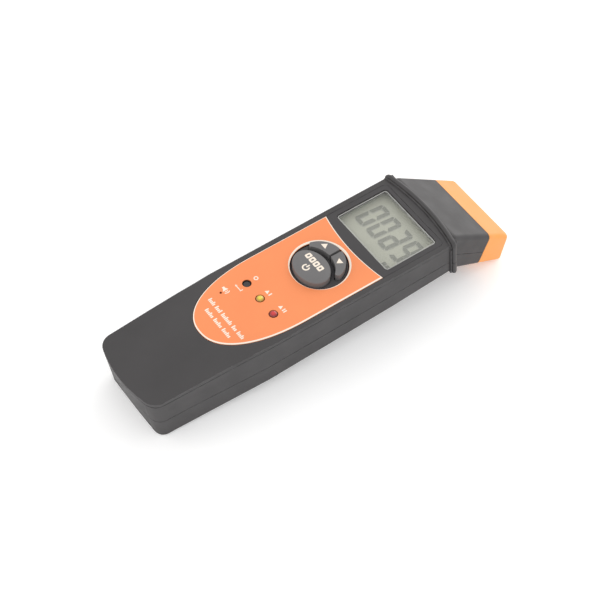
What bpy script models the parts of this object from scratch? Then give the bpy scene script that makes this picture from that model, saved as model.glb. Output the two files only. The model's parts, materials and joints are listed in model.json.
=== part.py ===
"""Handheld gas alarm meter, modelled as the separate pieces that it comes apart into.

Every piece is placed in the meter's own axes: the face is the plane Z = 0 with its keypad at the origin,
+X is the right of the face, +Y points to the sensor head and +Z comes out of the face. All pieces hang
from one empty, which lays the meter on its back and puts the middle of its box's underside at the world
origin. The head then still points along +Y.
"""

from math import atan2, cos, pi, radians, sin, sqrt

import bmesh
import bpy
from mathutils import Matrix, Vector

MM = 0.001
FIT = 0.3 * MM  # clear gap between two pieces that touch in life

# The handle, from the tail to the collar.
TAIL_WIDTH = 45.4 * MM
HANDLE_WIDTH = 49.7 * MM
COLLAR_END_WIDTH = 50.7 * MM
TAIL_END = -109.1 * MM
TAIL_ARC = 61.0 * MM
TAIL_CORNER = 7.2 * MM
TAPER_START = -45.0 * MM
FACE_DROP_START = -62.0 * MM
FACE_DROP = 1.8 * MM
HANDLE_DEPTH_TAIL = 28.6 * MM
HANDLE_DEPTH_KNEE = 22.2 * MM
HANDLE_DEPTH_COLLAR = 19.4 * MM
KNEE_Y = 25.0 * MM  # from here to the collar the back rises faster
LEAN_START = -95.0 * MM  # the outline leans in from here to the tail end
TAIL_LEAN_MIDDLE = 0.23  # how far the tail end moves in for each unit of depth
TAIL_LEAN_CORNER = 0.09
SIDE_DRAFT = 0.006  # how far a side moves in for each unit of depth
TAIL_DRAFT = 0.04
WALL = 2.2 * MM
FACE_EDGE = 2.0 * MM
BACK_EDGE = 2.4 * MM

# The collar and the bent head.
COLLAR_WIDTH = 54.0 * MM
COLLAR_LENGTH = 3.6 * MM
COLLAR_CENTRE_Y = 59.2 * MM
COLLAR_SWEEP = 3.2 * MM
COLLAR_RISE = 1.6 * MM
COLLAR_DEPTH = 23.0 * MM
COLLAR_CORNER = 3.0 * MM
COLLAR_LEAN = 0.1  # how far it moves to the head for each unit of depth
HEAD_WIDTH_COLLAR = 47.0 * MM
HEAD_WIDTH_TIP = 43.8 * MM
HEAD_EDGE = 2.4 * MM
HEAD_TOP = ((61.2 * MM, 1.0 * MM), (98.0 * MM, -24.4 * MM))
HEAD_UNDER = ((65.1 * MM, -25.4 * MM), (94.2 * MM, -40.9 * MM))
CAP_SEAM = ((85.0 * MM, -14.2 * MM), (78.0 * MM, -32.8 * MM))
HEAD_BEND = radians(31.0)
PARTING = (
    (-130.0 * MM, -16.6 * MM),
    (-61.0 * MM, -16.0 * MM),
    (55.0 * MM, -12.6 * MM),
    (63.0 * MM, -13.0 * MM),
    (110.0 * MM, -43.0 * MM),
)

# The face: label, display, keys, lamps and sound hole.
LABEL_HALF_WIDTH = 22.3 * MM
LABEL_TOP = 17.4 * MM
LABEL_TOP_SWEEP = 2.4 * MM
LABEL_ROUND_START = -22.0 * MM
LABEL_ROUND_LENGTH = 44.4 * MM
LABEL_ROUND_POWER = 2.25
LABEL_THICKNESS = 0.5 * MM
SURROUND_TOP = 55.0 * MM
WINDOW_CENTRE_Y = 38.4 * MM
WINDOW_SIZE = (39.7 * MM, 29.4 * MM)
KEYPAD_RADIUS = 13.75 * MM
KEY_FIELD_TOP = -0.5 * MM
KEY_EDGE_HEIGHT = 2.3 * MM
MODE_CENTRE_Y = -4.6 * MM
MODE_SIZE = (11.2 * MM, 8.0 * MM)
ARROW_KEY_RADIUS = 12.2 * MM
KEY_GAP = 1.0 * MM
ROW_Y = -33.2 * MM
ROW_PITCH = 10.66 * MM
LAMP_RADIUS = 2.1 * MM
OFF_RADIUS = 2.0 * MM
OFF_WELL_RADIUS = 2.6 * MM
SOUND_HOLE = (-13.0 * MM, -46.0 * MM)

# The inside.
BOARD_TOP = -9.0 * MM
BOARD_THICKNESS = 1.6 * MM
BOARD_SIZE = (43.4 * MM, 101.6 * MM)
BOARD_CENTRE_Y = 2.6 * MM
CASE_SCREWS = ((18.2 * MM, 14.3 * MM), (18.2 * MM, -36.0 * MM))
BOARD_SCREW_Y = -12.0 * MM
CASE_BORE = 1.3 * MM
SCREW_SEAT = -16.0 * MM
BOARD_BORE = 1.1 * MM
BATTERY_SIZE = (26.5 * MM, 44.5 * MM, 17.5 * MM)
BATTERY_CENTRE = (0.0, -80.4 * MM, -13.9 * MM)
PAD_THICKNESS = 1.4 * MM
DOOR_HALF_WIDTH = 17.6 * MM
DOOR_HEAD_END = -50.4 * MM
DOOR_THICKNESS = 1.9 * MM
BAY_HALF_WIDTH = 14.6 * MM
BAY_ENDS = (-103.0 * MM, -52.0 * MM)
BAY_FLOOR = -21.5 * MM
CELL_RADIUS = 4.7 * MM
CELL_LENGTH = 16.0 * MM

OBJECT = "gas_alarm_meter"


def start_scene():
    """An empty scene with the part's collections and the empty that carries every piece."""
    for obj in list(bpy.data.objects):
        bpy.data.objects.remove(obj, do_unlink=True)
    for name in (OBJECT, OBJECT + "_cutters"):
        bpy.context.scene.collection.children.link(bpy.data.collections.new(name))
    pose = bpy.data.objects.new("meter_pose", None)
    bpy.data.collections[OBJECT].objects.link(pose)


def material(name, colour, roughness, metallic=0.0, transmission=0.0):
    made = bpy.data.materials.new(name)
    made.use_nodes = True
    shader = made.node_tree.nodes["Principled BSDF"]
    shader.inputs["Base Color"].default_value = (*colour, 1.0)
    shader.inputs["Roughness"].default_value = roughness
    shader.inputs["Metallic"].default_value = metallic
    shader.inputs["Transmission Weight"].default_value = transmission
    made.diffuse_color = (*colour, 1.0)
    return made


def place(name, mesh, finish=None, location=(0.0, 0.0, 0.0), turn=None):
    """A piece of the meter, or a cutter where it has no finish."""
    obj = bpy.data.objects.new(name, mesh)
    home = bpy.data.collections[OBJECT if finish else OBJECT + "_cutters"]
    home.objects.link(obj)
    obj.parent = bpy.data.objects["meter_pose"]
    obj.matrix_local = Matrix.Translation(location) @ (turn.to_4x4() if turn else Matrix())
    if finish:
        mesh.materials.clear()
        mesh.materials.append(finish)
        mesh.shade_smooth()
        mesh.set_sharp_from_angle(angle=radians(35))
    else:
        obj.hide_render = True
        obj.display_type = "WIRE"
    return obj


def mesh_of(bm, name):
    mesh = bpy.data.meshes.new(name)
    bm.to_mesh(mesh)
    bm.free()
    return mesh


def curve_mesh(curve):
    """The closed mesh that a curve makes."""
    holder = bpy.data.objects.new(curve.name, curve)
    bpy.context.scene.collection.objects.link(holder)
    graph = bpy.context.evaluated_depsgraph_get()
    mesh = bpy.data.meshes.new_from_object(holder.evaluated_get(graph))
    bpy.data.objects.remove(holder)
    bm = bmesh.new()
    bm.from_mesh(mesh)
    bmesh.ops.remove_doubles(bm, verts=bm.verts, dist=0.002 * MM)
    bmesh.ops.recalc_face_normals(bm, faces=bm.faces)
    bm.to_mesh(mesh)
    bm.free()
    return mesh


def slab(name, outline, low, high, upright=False):
    """A flat outline given thickness: along Z, or along X where upright, when its points are (Y, Z)."""
    curve = bpy.data.curves.new(name, "CURVE")
    curve.dimensions = "2D"
    curve.fill_mode = "BOTH"
    curve.extrude = (high - low) / 2
    spline = curve.splines.new("POLY")
    spline.points.add(len(outline) - 1)
    for point, (u, v) in zip(spline.points, outline):
        point.co = (u, v, 0.0, 1.0)
    spline.use_cyclic_u = True
    mesh = curve_mesh(curve)
    bm = bmesh.new()
    bm.from_mesh(mesh)
    bmesh.ops.dissolve_limit(bm, angle_limit=radians(0.5), verts=bm.verts, edges=bm.edges)
    bm.to_mesh(mesh)
    bm.free()
    mesh.transform(Matrix.Translation((0.0, 0.0, (low + high) / 2)))
    if upright:
        mesh.transform(Matrix(((0, 0, 1, 0), (1, 0, 0, 0), (0, 1, 0, 0), (0, 0, 0, 1))))
    return mesh


def block(name, low, high):
    bm = bmesh.new()
    size = [b - a for a, b in zip(low, high)]
    middle = [(a + b) / 2 for a, b in zip(low, high)]
    bmesh.ops.create_cube(bm, size=1.0, matrix=Matrix.Translation(middle) @ Matrix.Diagonal((*size, 1.0)))
    return mesh_of(bm, name)


def drum(name, radius, low, high, sides=24, centre=(0.0, 0.0)):
    bm = bmesh.new()
    bmesh.ops.create_cone(
        bm,
        cap_ends=True,
        segments=sides,
        radius1=radius,
        radius2=radius,
        depth=high - low,
        matrix=Matrix.Translation((*centre, (low + high) / 2)),
    )
    return mesh_of(bm, name)


def turned(name, profile, finish, location=(0.0, 0.0, 0.0), turn=None, sides=24):
    """A solid of revolution about its own Z. The profile is (radius, z) points from top to bottom."""
    bm = bmesh.new()
    points = [bm.verts.new((radius, 0.0, z)) for radius, z in profile]
    for first, second in zip(points, points[1:]):
        bm.edges.new((first, second))
    obj = place(name, mesh_of(bm, name), finish, location, turn)
    screw = obj.modifiers.new("turn", "SCREW")
    screw.steps = screw.render_steps = sides
    screw.use_merge_vertices = True
    screw.merge_threshold = 0.005 * MM
    return obj


def combine(obj, operation, *others):
    for other in others:
        boolean = obj.modifiers.new(f"{operation.lower()}_{other.name}"[:60], "BOOLEAN")
        boolean.operation = operation
        boolean.object = other
    return obj


def soften(obj, width, segments=2, angle=35.0):
    bevel = obj.modifiers.new("soften", "BEVEL")
    bevel.width = width
    bevel.segments = segments
    bevel.limit_method = "ANGLE"
    bevel.angle_limit = radians(angle)
    return obj


def arc(centre, radius, start, end, steps):
    """Points on an arc, with its angles in degrees from +U towards +V."""
    angles = [radians(start + (end - start) * i / steps) for i in range(steps + 1)]
    return [(centre[0] + radius * cos(a), centre[1] + radius * sin(a)) for a in angles]


def rounded_rectangle(half_u, half_v, radius, centre=(0.0, 0.0), steps=4):
    points = []
    for quarter, (su, sv) in enumerate(((1, 1), (-1, 1), (-1, -1), (1, -1))):
        corner = (centre[0] + su * (half_u - radius), centre[1] + sv * (half_v - radius))
        points += arc(corner, radius, 90 * quarter, 90 * quarter + 90, steps)
    return points


def inset(outline, distance):
    """The same outline moved inwards by a distance, or outwards where that is negative."""
    if not distance:
        return list(outline)
    turning = sum(u0 * v1 - u1 * v0 for (u0, v0), (u1, v1) in zip(outline, outline[1:] + outline[:1]))
    side = distance if turning > 0 else -distance
    moved = []
    for before, here, after in zip(outline[-1:] + outline[:-1], outline, outline[1:] + outline[:1]):
        entering = Vector((here[0] - before[0], here[1] - before[1])).normalized()
        leaving = Vector((after[0] - here[0], after[1] - here[1])).normalized()
        mitre = Vector((-entering.y - leaving.y, entering.x + leaving.x)).normalized()
        stretch = side / max(mitre.dot(Vector((-entering.y, entering.x))), 0.3)
        moved.append((here[0] + mitre.x * stretch, here[1] + mitre.y * stretch))
    return moved


def mirrored(right_side):
    """A full outline from the points of its right side, which run from the middle to the middle."""
    left_side = [(-x, y) for x, y in reversed(right_side) if abs(x) > 0.01 * MM]
    return right_side + left_side


# ---------------------------------------------------------------- outlines


def handle_plan():
    """The handle seen from above: tapered sides, round corners and a shallow arc across the tail."""
    corner_x = TAIL_WIDTH / 2 - TAIL_CORNER
    arc_centre_y = TAIL_END + TAIL_ARC
    corner_y = arc_centre_y - sqrt((TAIL_ARC - TAIL_CORNER) ** 2 - corner_x**2)
    swing = atan2(corner_x, arc_centre_y - corner_y) * 180 / pi
    tail = arc((0.0, arc_centre_y), TAIL_ARC, -90, -90 + swing, 4)
    corner = arc((corner_x, corner_y), TAIL_CORNER, -90 + swing, 0, 5)
    sides = [(HANDLE_WIDTH / 2, TAPER_START), (COLLAR_END_WIDTH / 2, 61.0 * MM), (0.0, 61.0 * MM)]
    return mirrored(tail + corner[1:] + sides)


def back_z(y):
    """The height of the handle's back, which rises from the tail to the knee and faster to the collar."""
    if y < KNEE_Y:
        along = (y - TAIL_END) / (KNEE_Y - TAIL_END)
        return -HANDLE_DEPTH_TAIL + along * (HANDLE_DEPTH_TAIL - HANDLE_DEPTH_KNEE)
    along = (y - KNEE_Y) / (COLLAR_CENTRE_Y - KNEE_Y)
    return -HANDLE_DEPTH_KNEE + along * (HANDLE_DEPTH_KNEE - HANDLE_DEPTH_COLLAR)


def handle_profile():
    beyond, collar = TAIL_END - 5 * MM, COLLAR_CENTRE_Y + 1.8 * MM
    return [
        (beyond, -FACE_DROP - 0.2 * MM),
        (beyond, back_z(beyond)),
        (KNEE_Y, back_z(KNEE_Y)),
        (collar, back_z(collar)),
        (collar, 0.0),
        (FACE_DROP_START, 0.0),
        (FACE_DROP_START - 14 * MM, -0.4 * MM),
    ]


def head_plan():
    half_base, half_tip = HEAD_WIDTH_COLLAR / 2, HEAD_WIDTH_TIP / 2
    back, tip = 50.0 * MM, 100.0 * MM
    return [(-half_base, back), (half_base, back), (half_tip, tip), (-half_tip, tip)]


def head_profile():
    top_base, top_tip = HEAD_TOP
    under_base, under_tip = HEAD_UNDER
    inside_handle = [(52.0 * MM, -4.0 * MM), (52.0 * MM, -18.4 * MM), (57.0 * MM, -20.6 * MM)]
    return inside_handle + [under_base, under_tip, top_tip, top_base]


def collar_plan():
    half = COLLAR_WIDTH / 2
    steps = 6
    xs = [half * i / steps for i in range(steps + 1)]
    tail_side = [(x, COLLAR_CENTRE_Y - COLLAR_SWEEP * (x / half) ** 2) for x in xs]
    head_side = [(x, y + COLLAR_LENGTH) for x, y in reversed(tail_side)]
    return mirrored(tail_side + head_side)


def beyond_seam(outset=0.0):
    """The region of the head past the seam of the sensor cap, moved towards the tip by outset."""
    (top_y, top_z), (under_y, under_z) = CAP_SEAM
    along = Vector((top_y - under_y, top_z - under_z)).normalized()
    ahead = Vector((-along.y, along.x)) * -outset
    reach = along * 30 * MM
    top = Vector((top_y, top_z)) + reach + ahead
    under = Vector((under_y, under_z)) - reach + ahead
    return [tuple(under), (120 * MM, under.y), (120 * MM, top.y), tuple(top)]


def label_plan():
    """Straight sides, a round lower end and a top edge that sags towards the keypad."""
    steps = 12
    lower = []
    for i in range(steps + 1):
        t = pi / 2 * i / steps
        x = LABEL_HALF_WIDTH * sin(t) ** (2 / LABEL_ROUND_POWER)
        y = LABEL_ROUND_START - LABEL_ROUND_LENGTH * cos(t) ** (2 / LABEL_ROUND_POWER)
        lower.append((x, y))
    return mirrored(lower + label_top())


def label_top(steps=5):
    """The label's top edge from its right corner to the middle."""
    xs = [LABEL_HALF_WIDTH * (1 - i / steps) for i in range(steps + 1)]
    return [(x, LABEL_TOP + LABEL_TOP_SWEEP * (x / LABEL_HALF_WIDTH) ** 2) for x in xs]


def surround_plan():
    """The dark panel round the display, from the label's top edge to just short of the collar."""
    lower = [(x, y + FIT) for x, y in reversed(label_top())]
    corner = arc((LABEL_HALF_WIDTH - 2 * MM, SURROUND_TOP - 2 * MM), 2 * MM, 0, 90, 3)
    return mirrored(lower + corner + [(0.0, SURROUND_TOP)])


def mode_key_plan():
    steps = 28
    half_x, half_y = MODE_SIZE
    angles = [2 * pi * i / steps for i in range(steps)]
    return [(half_x * cos(a), MODE_CENTRE_Y + half_y * sin(a)) for a in angles]


def arrow_key_plan(side):
    """The half crescent between the mode key and the edge of the keypad; side is 1 for the right."""
    half_x, half_y = MODE_SIZE[0] + KEY_GAP, MODE_SIZE[1] + KEY_GAP
    outer = arc((0.0, 0.0), ARROW_KEY_RADIUS, 13, 87, 8)
    steps = 7
    inner = []
    for i in range(steps + 1):
        x = KEY_GAP / 2 + (10.9 * MM - KEY_GAP / 2) * i / steps
        inner.append((x, MODE_CENTRE_Y + half_y * sqrt(1 - (x / half_x) ** 2)))
    outline = outer + inner
    return outline if side > 0 else [(-x, y) for x, y in reversed(outline)]


# ---------------------------------------------------------------- housing


def drafted(mesh):
    """Leans the tail end and sides of the handle's block in towards its back; splits the sides."""
    for vertex in mesh.vertices:
        x, y, depth = vertex.co.x, vertex.co.y, -vertex.co.z
        at_tail = min(1.0, max(0.0, (FACE_DROP_START - y) / (FACE_DROP_START - LEAN_START)))
        draft = SIDE_DRAFT + (TAIL_DRAFT - SIDE_DRAFT) * at_tail
        vertex.co.x -= x * draft * depth / (HANDLE_WIDTH / 2)
        if y < LEAN_START:
            off_middle = min(1.0, (x / (TAIL_WIDTH / 2)) ** 2)
            lean = TAIL_LEAN_MIDDLE + (TAIL_LEAN_CORNER - TAIL_LEAN_MIDDLE) * off_middle
            vertex.co.y += lean * depth
    bm = bmesh.new()
    bm.from_mesh(mesh)
    bmesh.ops.triangulate(bm, faces=[face for face in bm.faces if abs(face.normal.z) < 0.5])
    bm.to_mesh(mesh)
    bm.free()
    return mesh


def handle_form(name, edge, distance=0.0, finish=None):
    mesh = drafted(slab(name, inset(handle_plan(), distance), -30 * MM, 5 * MM))
    obj = place(name, mesh, finish)
    profile = slab(name + "_profile", inset(handle_profile(), distance), -40 * MM, 40 * MM, upright=True)
    combine(obj, "INTERSECT", place(name + "_profile", profile))
    return soften(obj, edge) if edge else obj


def head_form(name, edge, distance=0.0, finish=None):
    mesh = slab(name, inset(head_plan(), distance), -60 * MM, 20 * MM)
    obj = place(name, mesh, finish)
    profile = slab(name + "_profile", inset(head_profile(), distance), -40 * MM, 40 * MM, upright=True)
    combine(obj, "INTERSECT", place(name + "_profile", profile))
    return soften(obj, edge) if edge else obj


def parting_region(name, above, gap=0.0):
    far = 60 * MM if above else -80 * MM
    line = [(y, z - gap) for y, z in PARTING]
    outline = line + [(PARTING[-1][0], far), (PARTING[0][0], far)]
    return place(name, slab(name, outline, -45 * MM, 45 * MM, upright=True))


def cavity(name, floor):
    """The room inside the handle and head. The battery bay's floor is higher, to leave rails for the door."""
    obj = handle_form(name, 0, WALL)
    keep = place(name + "_floor", block(name, (-40 * MM, -120 * MM, floor), (40 * MM, -50 * MM, 20 * MM)))
    rest = place(name + "_rest", block(name, (-40 * MM, -48.6 * MM, -30 * MM), (40 * MM, 80 * MM, 20 * MM)))
    combine(keep, "UNION", rest)
    combine(obj, "INTERSECT", keep)
    return combine(obj, "UNION", head_form(name + "_head", 0, WALL))


def collar_form(name):
    """The raised rib round the case, swept across the face and leaning with depth."""
    mesh = slab(name, collar_plan(), -40 * MM, 20 * MM)
    for vertex in mesh.vertices:
        vertex.co.y -= COLLAR_LEAN * vertex.co.z
    collar = place(name, mesh)
    middle = (COLLAR_RISE - COLLAR_DEPTH) / 2
    outline = rounded_rectangle(COLLAR_WIDTH / 2, COLLAR_RISE - middle, COLLAR_CORNER, (0.0, middle), 3)
    front_view = slab(name + "_front", outline, 40 * MM, 80 * MM)
    front_view.transform(Matrix(((1, 0, 0, 0), (0, 0, 1, 0), (0, 1, 0, 0), (0, 0, 0, 1))))
    front_view.flip_normals()
    combine(collar, "INTERSECT", place(name + "_front", front_view))
    return soften(collar, 1.3 * MM)


def shell(name, edge, above, finish):
    """One half of the handle, collar and head: hollow, with room for the battery and its leads."""
    obj = handle_form(name, edge, 0.0, finish)
    head = head_form(name + "_head", HEAD_EDGE)
    cap = place(name + "_cap_room", slab(name, beyond_seam(), -40 * MM, 40 * MM, upright=True))
    combine(head, "DIFFERENCE", cap)
    collar = collar_form(name + "_collar")
    combine(obj, "UNION", head, collar)
    combine(obj, "DIFFERENCE", cavity(name + "_cavity", BAY_FLOOR))
    combine(obj, "INTERSECT", parting_region(name + "_side", above, 0.0 if above else FIT))
    notch = block("lead_notch", (2 * MM, -52 * MM, -18 * MM), (12 * MM, -46 * MM, -8 * MM))
    combine(obj, "DIFFERENCE", place("lead_notch", notch))
    bay = block("bay", (-BAY_HALF_WIDTH, BAY_ENDS[0], -40 * MM), (BAY_HALF_WIDTH, BAY_ENDS[1], -10 * MM))
    return combine(obj, "DIFFERENCE", place("bay_opening", bay))


def screw_places():
    for end, (x, y) in zip(("head", "tail"), CASE_SCREWS):
        for side, name in ((-1, "left"), (1, "right")):
            yield f"{name}_{end}", (side * x, y)


def board_screw_places():
    for side, name in ((-1, "left"), (1, "right")):
        yield name, (side * CASE_SCREWS[0][0], BOARD_SCREW_Y)


def front_shell(finish):
    obj = shell("front_shell", FACE_EDGE, True, finish)
    bosses = [(name, spot, 2.7 * MM, CASE_BORE) for name, spot in screw_places()]
    bosses += [(f"board_{name}", spot, 2.3 * MM, BOARD_BORE) for name, spot in board_screw_places()]
    for name, spot, radius, bore in bosses:
        boss = drum("boss", radius, BOARD_TOP + FIT, -1.6 * MM, 16, spot)
        pilot = drum("pilot", bore, -12 * MM, -3 * MM, 12, spot)
        combine(obj, "UNION", place("boss_" + name, boss))
        combine(obj, "DIFFERENCE", place("pilot_" + name, pilot))
    recess_depth = -LABEL_THICKNESS - FIT
    for name, plan in (("label_room", label_plan()), ("surround_room", surround_plan())):
        room = slab(name, inset(plan, -FIT), recess_depth, 6 * MM)
        combine(obj, "DIFFERENCE", place(name, room))
    window = rounded_rectangle(WINDOW_SIZE[0] / 2, WINDOW_SIZE[1] / 2, 1.6 * MM, (0.0, WINDOW_CENTRE_Y))
    combine(obj, "DIFFERENCE", place("window_hole", slab("window_hole", window, -6 * MM, 6 * MM)))
    combine(obj, "DIFFERENCE", place("keypad_hole", drum("keypad_hole", KEYPAD_RADIUS, -6 * MM, 6 * MM, 48)))
    lamp_hole = LAMP_RADIUS + FIT
    row = (("off", -ROW_PITCH, OFF_WELL_RADIUS), ("yellow", 0.0, lamp_hole), ("red", ROW_PITCH, lamp_hole))
    for name, x, radius in row:
        hole = drum("row_hole", radius, -6 * MM, 6 * MM, 24, (x, ROW_Y))
        combine(obj, "DIFFERENCE", place("row_hole_" + name, hole))
    sound = drum("sound_hole", 0.6 * MM, -6 * MM, 6 * MM, 12, SOUND_HOLE)
    return combine(obj, "DIFFERENCE", place("sound_hole", sound))


def door_region(name, gap):
    """The battery door's block: it runs out past the tail along the back, so the door slides off that way."""
    far, near = -130 * MM, DOOR_HEAD_END + gap
    top = [(y, back_z(y) + DOOR_THICKNESS + gap) for y in (near, far)]
    outline = [(far, -50 * MM), (near, -50 * MM)] + top
    half = DOOR_HALF_WIDTH + gap
    return place(name, slab(name, outline, -half, half, upright=True))


def rear_shell(finish):
    obj = shell("rear_shell", BACK_EDGE, False, finish)
    for name, spot in screw_places():
        post = drum("post", 3.6 * MM, back_z(spot[1]) + 1 * MM, BOARD_TOP - BOARD_THICKNESS - FIT, 20, spot)
        well = drum("well", 2.6 * MM, -40 * MM, SCREW_SEAT, 20, spot)
        bore = drum("bore", CASE_BORE, -40 * MM, 0, 12, spot)
        combine(obj, "UNION", place("post_" + name, post))
        combine(obj, "DIFFERENCE", place("well_" + name, well), place("bore_" + name, bore))
    return combine(obj, "DIFFERENCE", door_region("door_room", FIT))


def battery_door(finish):
    """The sliding door, with a sunk arrow that points the way it comes off."""
    door = handle_form("battery_door", BACK_EDGE, 0.0, finish)
    combine(door, "INTERSECT", door_region("door_body", 0.0))
    base, half = -60 * MM, 6 * MM
    outline = [(-half, base), (half, base), (0.0, base - 8 * MM)]
    arrow = slab("door_arrow", outline, -40 * MM, back_z(base) + 0.5 * MM)
    combine(door, "DIFFERENCE", place("door_arrow", arrow))


def sensor_cap(finish):
    """A hollow slip-on end with gas slots through its tip."""
    cap = head_form("sensor_cap", HEAD_EDGE, 0.0, finish)
    room = place("cap_region", slab("cap_region", beyond_seam(FIT), -40 * MM, 40 * MM, upright=True))
    combine(cap, "INTERSECT", room)
    combine(cap, "DIFFERENCE", head_form("cap_hollow", 0, WALL))
    for i in range(5):
        x = (i - 2) * 6 * MM
        slot = block("gas_slot", (x - 1.2 * MM, 88.2 * MM, -37 * MM), (x + 1.2 * MM, 110 * MM, -26.5 * MM))
        combine(cap, "DIFFERENCE", place(f"gas_slot_{i}", slot))
    return cap


def head_turn():
    """Turns a piece's +Z from out of the face to out along the bent head."""
    return Matrix.Rotation(-pi / 2 - HEAD_BEND, 3, "X")


def head_point(ahead, up=0.0):
    """A point on the head's middle line, ahead of the middle of the cap's seam."""
    y = (CAP_SEAM[0][0] + CAP_SEAM[1][0]) / 2 + ahead * cos(HEAD_BEND) + up * sin(HEAD_BEND)
    z = (CAP_SEAM[0][1] + CAP_SEAM[1][1]) / 2 - ahead * sin(HEAD_BEND) + up * cos(HEAD_BEND)
    return (0.0, y, z)


# ---------------------------------------------------------------- face


def face_panels(label_finish, panel_finish):
    label = place("face_label", slab("face_label", label_plan(), -LABEL_THICKNESS, 0.0), label_finish)
    panel = slab("surround", surround_plan(), -LABEL_THICKNESS, 0.0)
    surround = place("display_surround", panel, panel_finish)
    holes = ("keypad_hole", "row_hole_off", "row_hole_yellow", "row_hole_red", "sound_hole")
    combine(label, "DIFFERENCE", *(bpy.data.objects[name] for name in holes))
    combine(surround, "DIFFERENCE", bpy.data.objects["window_hole"])


def display(window_finish, panel_finish, frame_finish, strip_finish):
    centre = (0.0, WINDOW_CENTRE_Y)
    half_x, half_y = WINDOW_SIZE[0] / 2, WINDOW_SIZE[1] / 2
    plate = rounded_rectangle(half_x + 1.2 * MM, half_y + 1.2 * MM, 1.5 * MM, centre, 3)
    window = place("display_window", slab("display_window", plate, -4.0 * MM, -WALL - FIT), window_finish)
    lens = rounded_rectangle(half_x - FIT, half_y - FIT, 1.3 * MM, centre, 3)
    combine(window, "UNION", place("lens", slab("lens", lens, -3.6 * MM, -0.6 * MM)))
    panel = block("display_panel", (-21 * MM, 22.4 * MM, -6.2 * MM), (21 * MM, 54.4 * MM, -4.3 * MM))
    place("display_panel", panel, panel_finish)
    outside = rounded_rectangle(22.2 * MM, 17.3 * MM, 1.5 * MM, centre, 3)
    frame = place("display_frame", slab("display_frame", outside, BOARD_TOP + FIT, -4.3 * MM), frame_finish)
    inside = block("frame_hole", (-21.2 * MM, 22.2 * MM, -20 * MM), (21.2 * MM, 54.6 * MM, 0.0))
    combine(frame, "DIFFERENCE", place("frame_hole", inside))
    for end, y in (("head", 51.9 * MM), ("tail", 22.9 * MM)):
        low = (-19 * MM, y, BOARD_TOP + FIT)
        high = (19 * MM, y + 2 * MM, -6.5 * MM)
        place("elastomer_strip_" + end, block("strip", low, high), strip_finish)


def domed_key(name, plan, rest, finish, stem):
    """A key with a rounded crown, and the stem under it that reaches down to the board."""
    middle = Vector((stem[0], stem[1], 0.0))
    local = [(x - middle.x, y - middle.y) for x, y in plan]
    mesh = slab(name, local, -4.4 * MM, KEY_EDGE_HEIGHT)
    bm = bmesh.new()
    bm.from_mesh(mesh)
    top = [face for face in bm.faces if face.normal.z > 0.9]
    bmesh.ops.inset_region(bm, faces=top, thickness=1.1 * MM, depth=0.9 * MM)
    top = [face for face in bm.faces if face.normal.z > 0.99]
    bmesh.ops.inset_region(bm, faces=top, thickness=1.6 * MM, depth=rest)
    bm.to_mesh(mesh)
    bm.free()
    key = place(name, mesh, finish, middle)
    leg = place(name + "_stem", drum(name, 2.0 * MM, -8.0 * MM, -4.0 * MM, 16, (middle.x, middle.y)))
    return combine(key, "UNION", leg)


def keypad(field_finish, key_finish):
    """The rubber field in the round hole, and the three keys that stand in it."""
    profile = [
        (0.0, KEY_FIELD_TOP),
        (KEYPAD_RADIUS - FIT, KEY_FIELD_TOP),
        (KEYPAD_RADIUS - FIT, -WALL - FIT),
        (15.6 * MM, -WALL - FIT),
        (15.6 * MM, -3.8 * MM),
        (0.0, -3.8 * MM),
    ]
    base = turned("key_base", profile, field_finish, sides=48)
    keys = (
        ("mode_key", mode_key_plan(), 0.6 * MM, (0.0, MODE_CENTRE_Y)),
        ("up_key", arrow_key_plan(-1), 0.5 * MM, (-6.3 * MM, 8.0 * MM)),
        ("down_key", arrow_key_plan(1), 0.5 * MM, (6.3 * MM, 8.0 * MM)),
    )
    for name, plan, crown, stem in keys:
        domed_key(name, plan, crown, key_finish, stem)
        hole = slab(name + "_hole", inset(plan, -FIT), -8 * MM, 8 * MM)
        combine(base, "DIFFERENCE", place(name + "_hole", hole))


def off_button(finish):
    profile = [
        (0.0, -0.7 * MM),
        (1.4 * MM, -0.8 * MM),
        (OFF_RADIUS, -1.3 * MM),
        (OFF_RADIUS, -4.4 * MM),
        (1.5 * MM, -4.6 * MM),
        (1.5 * MM, -8.0 * MM),
        (0.0, -8.0 * MM),
    ]
    turned("off_button", profile, finish, (-ROW_PITCH, ROW_Y, 0.0))


def lamps(finishes):
    angles = [radians(a) for a in range(0, 91, 18)]
    dome = [(LAMP_RADIUS * sin(a), (0.7 - 0.9 * (1 - cos(a))) * MM) for a in angles]
    body = [
        (LAMP_RADIUS, -2.6 * MM),
        (LAMP_RADIUS + 0.5 * MM, -2.6 * MM),
        (LAMP_RADIUS + 0.5 * MM, -3.6 * MM),
        (LAMP_RADIUS, -3.6 * MM),
        (LAMP_RADIUS, BOARD_TOP + FIT),
        (0.0, BOARD_TOP + FIT),
    ]
    for (name, finish), x in zip(finishes, (0.0, ROW_PITCH)):
        turned(name, dome + body, finish, (x, ROW_Y, 0.0))


# ---------------------------------------------------------------- inside


def main_board(finish):
    half_x, half_y = BOARD_SIZE[0] / 2, BOARD_SIZE[1] / 2
    outline = rounded_rectangle(half_x, half_y, 2 * MM, (0.0, BOARD_CENTRE_Y), 3)
    board = place("main_board", slab("main_board", outline, BOARD_TOP - BOARD_THICKNESS, BOARD_TOP), finish)
    spots = [spot for _, spot in (*screw_places(), *board_screw_places())]
    for i, spot in enumerate(spots):
        hole = drum("board_hole", CASE_BORE, -14 * MM, -6 * MM, 12, spot)
        combine(board, "DIFFERENCE", place(f"board_hole_{i}", hole))
    return board


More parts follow.
